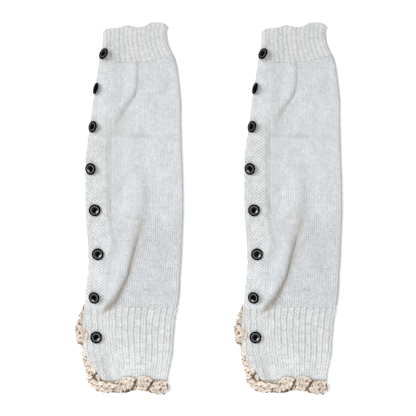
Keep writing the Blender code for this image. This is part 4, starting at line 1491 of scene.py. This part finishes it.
# %% The three strips
HEM_LACE = (
    # inner edge across, up, height, and outer edge across, up, height
    (-50.4, -152.5, 0.1, -51.4, -152, 0.4),
    (-49.6, -158, 0.8, -52.8, -157.6, 0.1),
    (-48.4, -163.4, 1.2, -52.7, -163.4, 0.9),
    (-47, -167.4, 1, -50.2, -167.4, 0.1),
    (-43.6, -171.4, 2.4, -52.4, -171.6, 1.2),
    (-42.2, -175, 3.2, -51.2, -176.2, 0.4),
    (-40.6, -178, 3.6, -48.2, -180, 1.6),
    (-38, -182, 3.8, -48.4, -184.6, 1),
    (-34.4, -187.2, 3.6, -46.2, -190.4, 0.2),
    (-31, -192.8, 4.6, -45.8, -196, 1.4),
    (-27, -193.8, 5.8, -42.6, -201, 0.3),
    (-22, -194.1, 6.5, -36.6, -204.6, 2),
    (-17, -194.3, 6.7, -27, -206.8, 2),
    (-12, -194, 6.9, -18, -206, 2.6),
    (-9.5, -193.6, 6.9, -11, -207.2, 2),
    (-6.5, -190.6, 6.9, -7, -205.4, 2.8),
    (-1, -188.6, 6.9, -1, -204.4, 3.6),
    (4.5, -190.4, 6.9, 4.4, -203, 2),
    (8.5, -191.8, 6.9, 9, -203.8, 2),
    (13, -188, 6.9, 13.5, -204.8, 3.8),
    (19.5, -188, 6.9, 19, -204.4, 2.4),
    (24.5, -191.4, 6.9, 24, -206, 2),
    (29.5, -192.8, 6.9, 29, -208.2, 3.4),
    (35, -193.2, 6.9, 35, -208.8, 2.4),
    (40, -193.6, 6.9, 40.5, -208, 2),
    (42.6, -194.6, 6.9, 44.6, -205.4, 2.8),
)
SIDE_LACE = (
    # up, width, height of the free edge, and reach and height of the sewn edge on the knit
    (-108, 1.2, 0.1, 0.6, 0.1), (-113, 2.6, 0.6, 0.9, 0.6), (-118, 5.4, 0.2, 0.6, 0.6),
    (-122.5, 6.6, 1.2, 0.3, 0.1), (-127, 7.6, 0.3, 0.3, 0.1), (-131, 8.7, 1.3, 0.8, 2),
    (-135.5, 9.55, 0.4, 2.6, 6.4), (-140, 9.3, 1.6, 4.8, 8.4), (-143.5, 9, 0.6, 5.4, 8.6),
    (-147, 8.2, 0.3, 3.6, 7.6), (-150.5, 7, 1.4, 2, 5), (-153.5, 4, 0.1, 1, 1),
)
# the lower strip's two ends, sewn edge and width, and how much of its width each row has
BACK_LACE = (-36.0, 41.5, -194.7, 12.4)
BACK_TIPS = (
    0.55, 0.85, 1, 0.78, 1, 0.98, 1, 0.76, 0.74, 0.74, 0.78, 1, 0.78, 0.8, 0.8)


def hem_ribbon():
    """The front strip, whose free half leans out over the table."""
    table = np.array(HEM_LACE)
    return Ribbon(table[:, :3], table[:, 3:], 0.9 * (np.arange(len(table)) % 2), -7.0)


def side_ribbon():
    """The strip up the left side, which laps over the fold in its lower part."""
    up, width, wave, lap, rise = np.array(SIDE_LACE).T
    edge = outline("left", up)
    inner = np.stack([edge + lap, up, rise], axis=-1)
    outer = np.stack([edge - width + LACE_TUCK, up, wave], axis=-1)
    # this strip is a little darker all over, and its ruffles a little flatter
    return Ribbon(inner, outer, 0.5 * (np.arange(len(up)) % 2), 3.0, shaded=0.10)


def back_ribbon():
    """The strip on the hem's lower layer, flat, and painted dark as the front one's shade."""
    left, right, top, depth = BACK_LACE
    across = np.linspace(left, right, len(BACK_TIPS))
    inner = np.stack([across, top + 0.0 * across, 0.0 * across], axis=-1)
    outer = inner + np.outer(BACK_TIPS, [0.0, -depth, 0.0])
    return Ribbon(inner, outer, 0.0 * across, -4.0, shaded=0.72)


STRIPS = {
    # the ribbon, and the length and width of what shows of it, in metres
    "hem_lace": (hem_ribbon(), 0.150, 0.013),
    "side_lace": (side_ribbon(), 0.048, 0.010),
    "back_lace": (back_ribbon(), 0.080, 0.012),
}
for strip, (ribbon, long, wide) in STRIPS.items():
    webs = place_pair(f"{strip}_web", web(strip, ribbon), strip)
    yarns = place_pair(f"{strip}_crochet", crochet(strip, ribbon), None)
    lay_sheets(webs, long, wide, yarns)

# %% [markdown]
# ## The joining stitches
#
# Leg and bottom cuff are linked by thick slanted stitches, one over each rib. They show as a row
# of short bright strokes along the seam, from the foot of the long fold to the right side.

# %% Joining stitches
JOIN_HALF = (2.5, 1.5)
JOIN_RADIUS = 0.8
JOIN_FROM = -7.0


def joining_stitches():
    """One tapered strand over each rib: it lies on the cloth and leans up to the right."""
    up = BOTTOM_SEAM("up", 0.6)
    start = band_seam(up)
    end = outline("right", up) - CUFF_HEIGHT / 2
    middle = start + (end - start) * (np.arange(BOTTOM_RIBS) + 0.5) / BOTTOM_RIBS
    middle = middle[middle > JOIN_FROM][:, None]
    step = np.linspace(-1.0, 1.0, 9)
    uneven = 1.0 + 0.15 * np.sin(middle * 1.7)
    across = middle + JOIN_HALF[0] * uneven * step
    share = (middle - outline("left", up)) / (outline("right", up) - outline("left", up))
    above = BOTTOM_SEAM("up", share) - 0.3 + JOIN_HALF[1] * uneven * step
    height = np.maximum(leg_height(across, above), cuff_height(across, above))
    centre = np.stack([across, above, height + 0.25 * (1.0 - step**2) + 0.15], axis=-1)
    radius = JOIN_RADIUS * np.sqrt(1.05 - step**2) * uneven
    normal = np.broadcast_to([0.0, 0.0, 1.0], centre.shape)
    points, walls, lids = tubes(centre, normal, radius, sides=8)
    counts = np.zeros((len(points), 2))
    values = {"deep": np.zeros(len(points)), "shade": np.zeros(len(points))}
    return make_mesh("joining_stitches", points, [walls, lids], rib_finish, counts, values)


place_pair("joining_stitches", joining_stitches(), None)
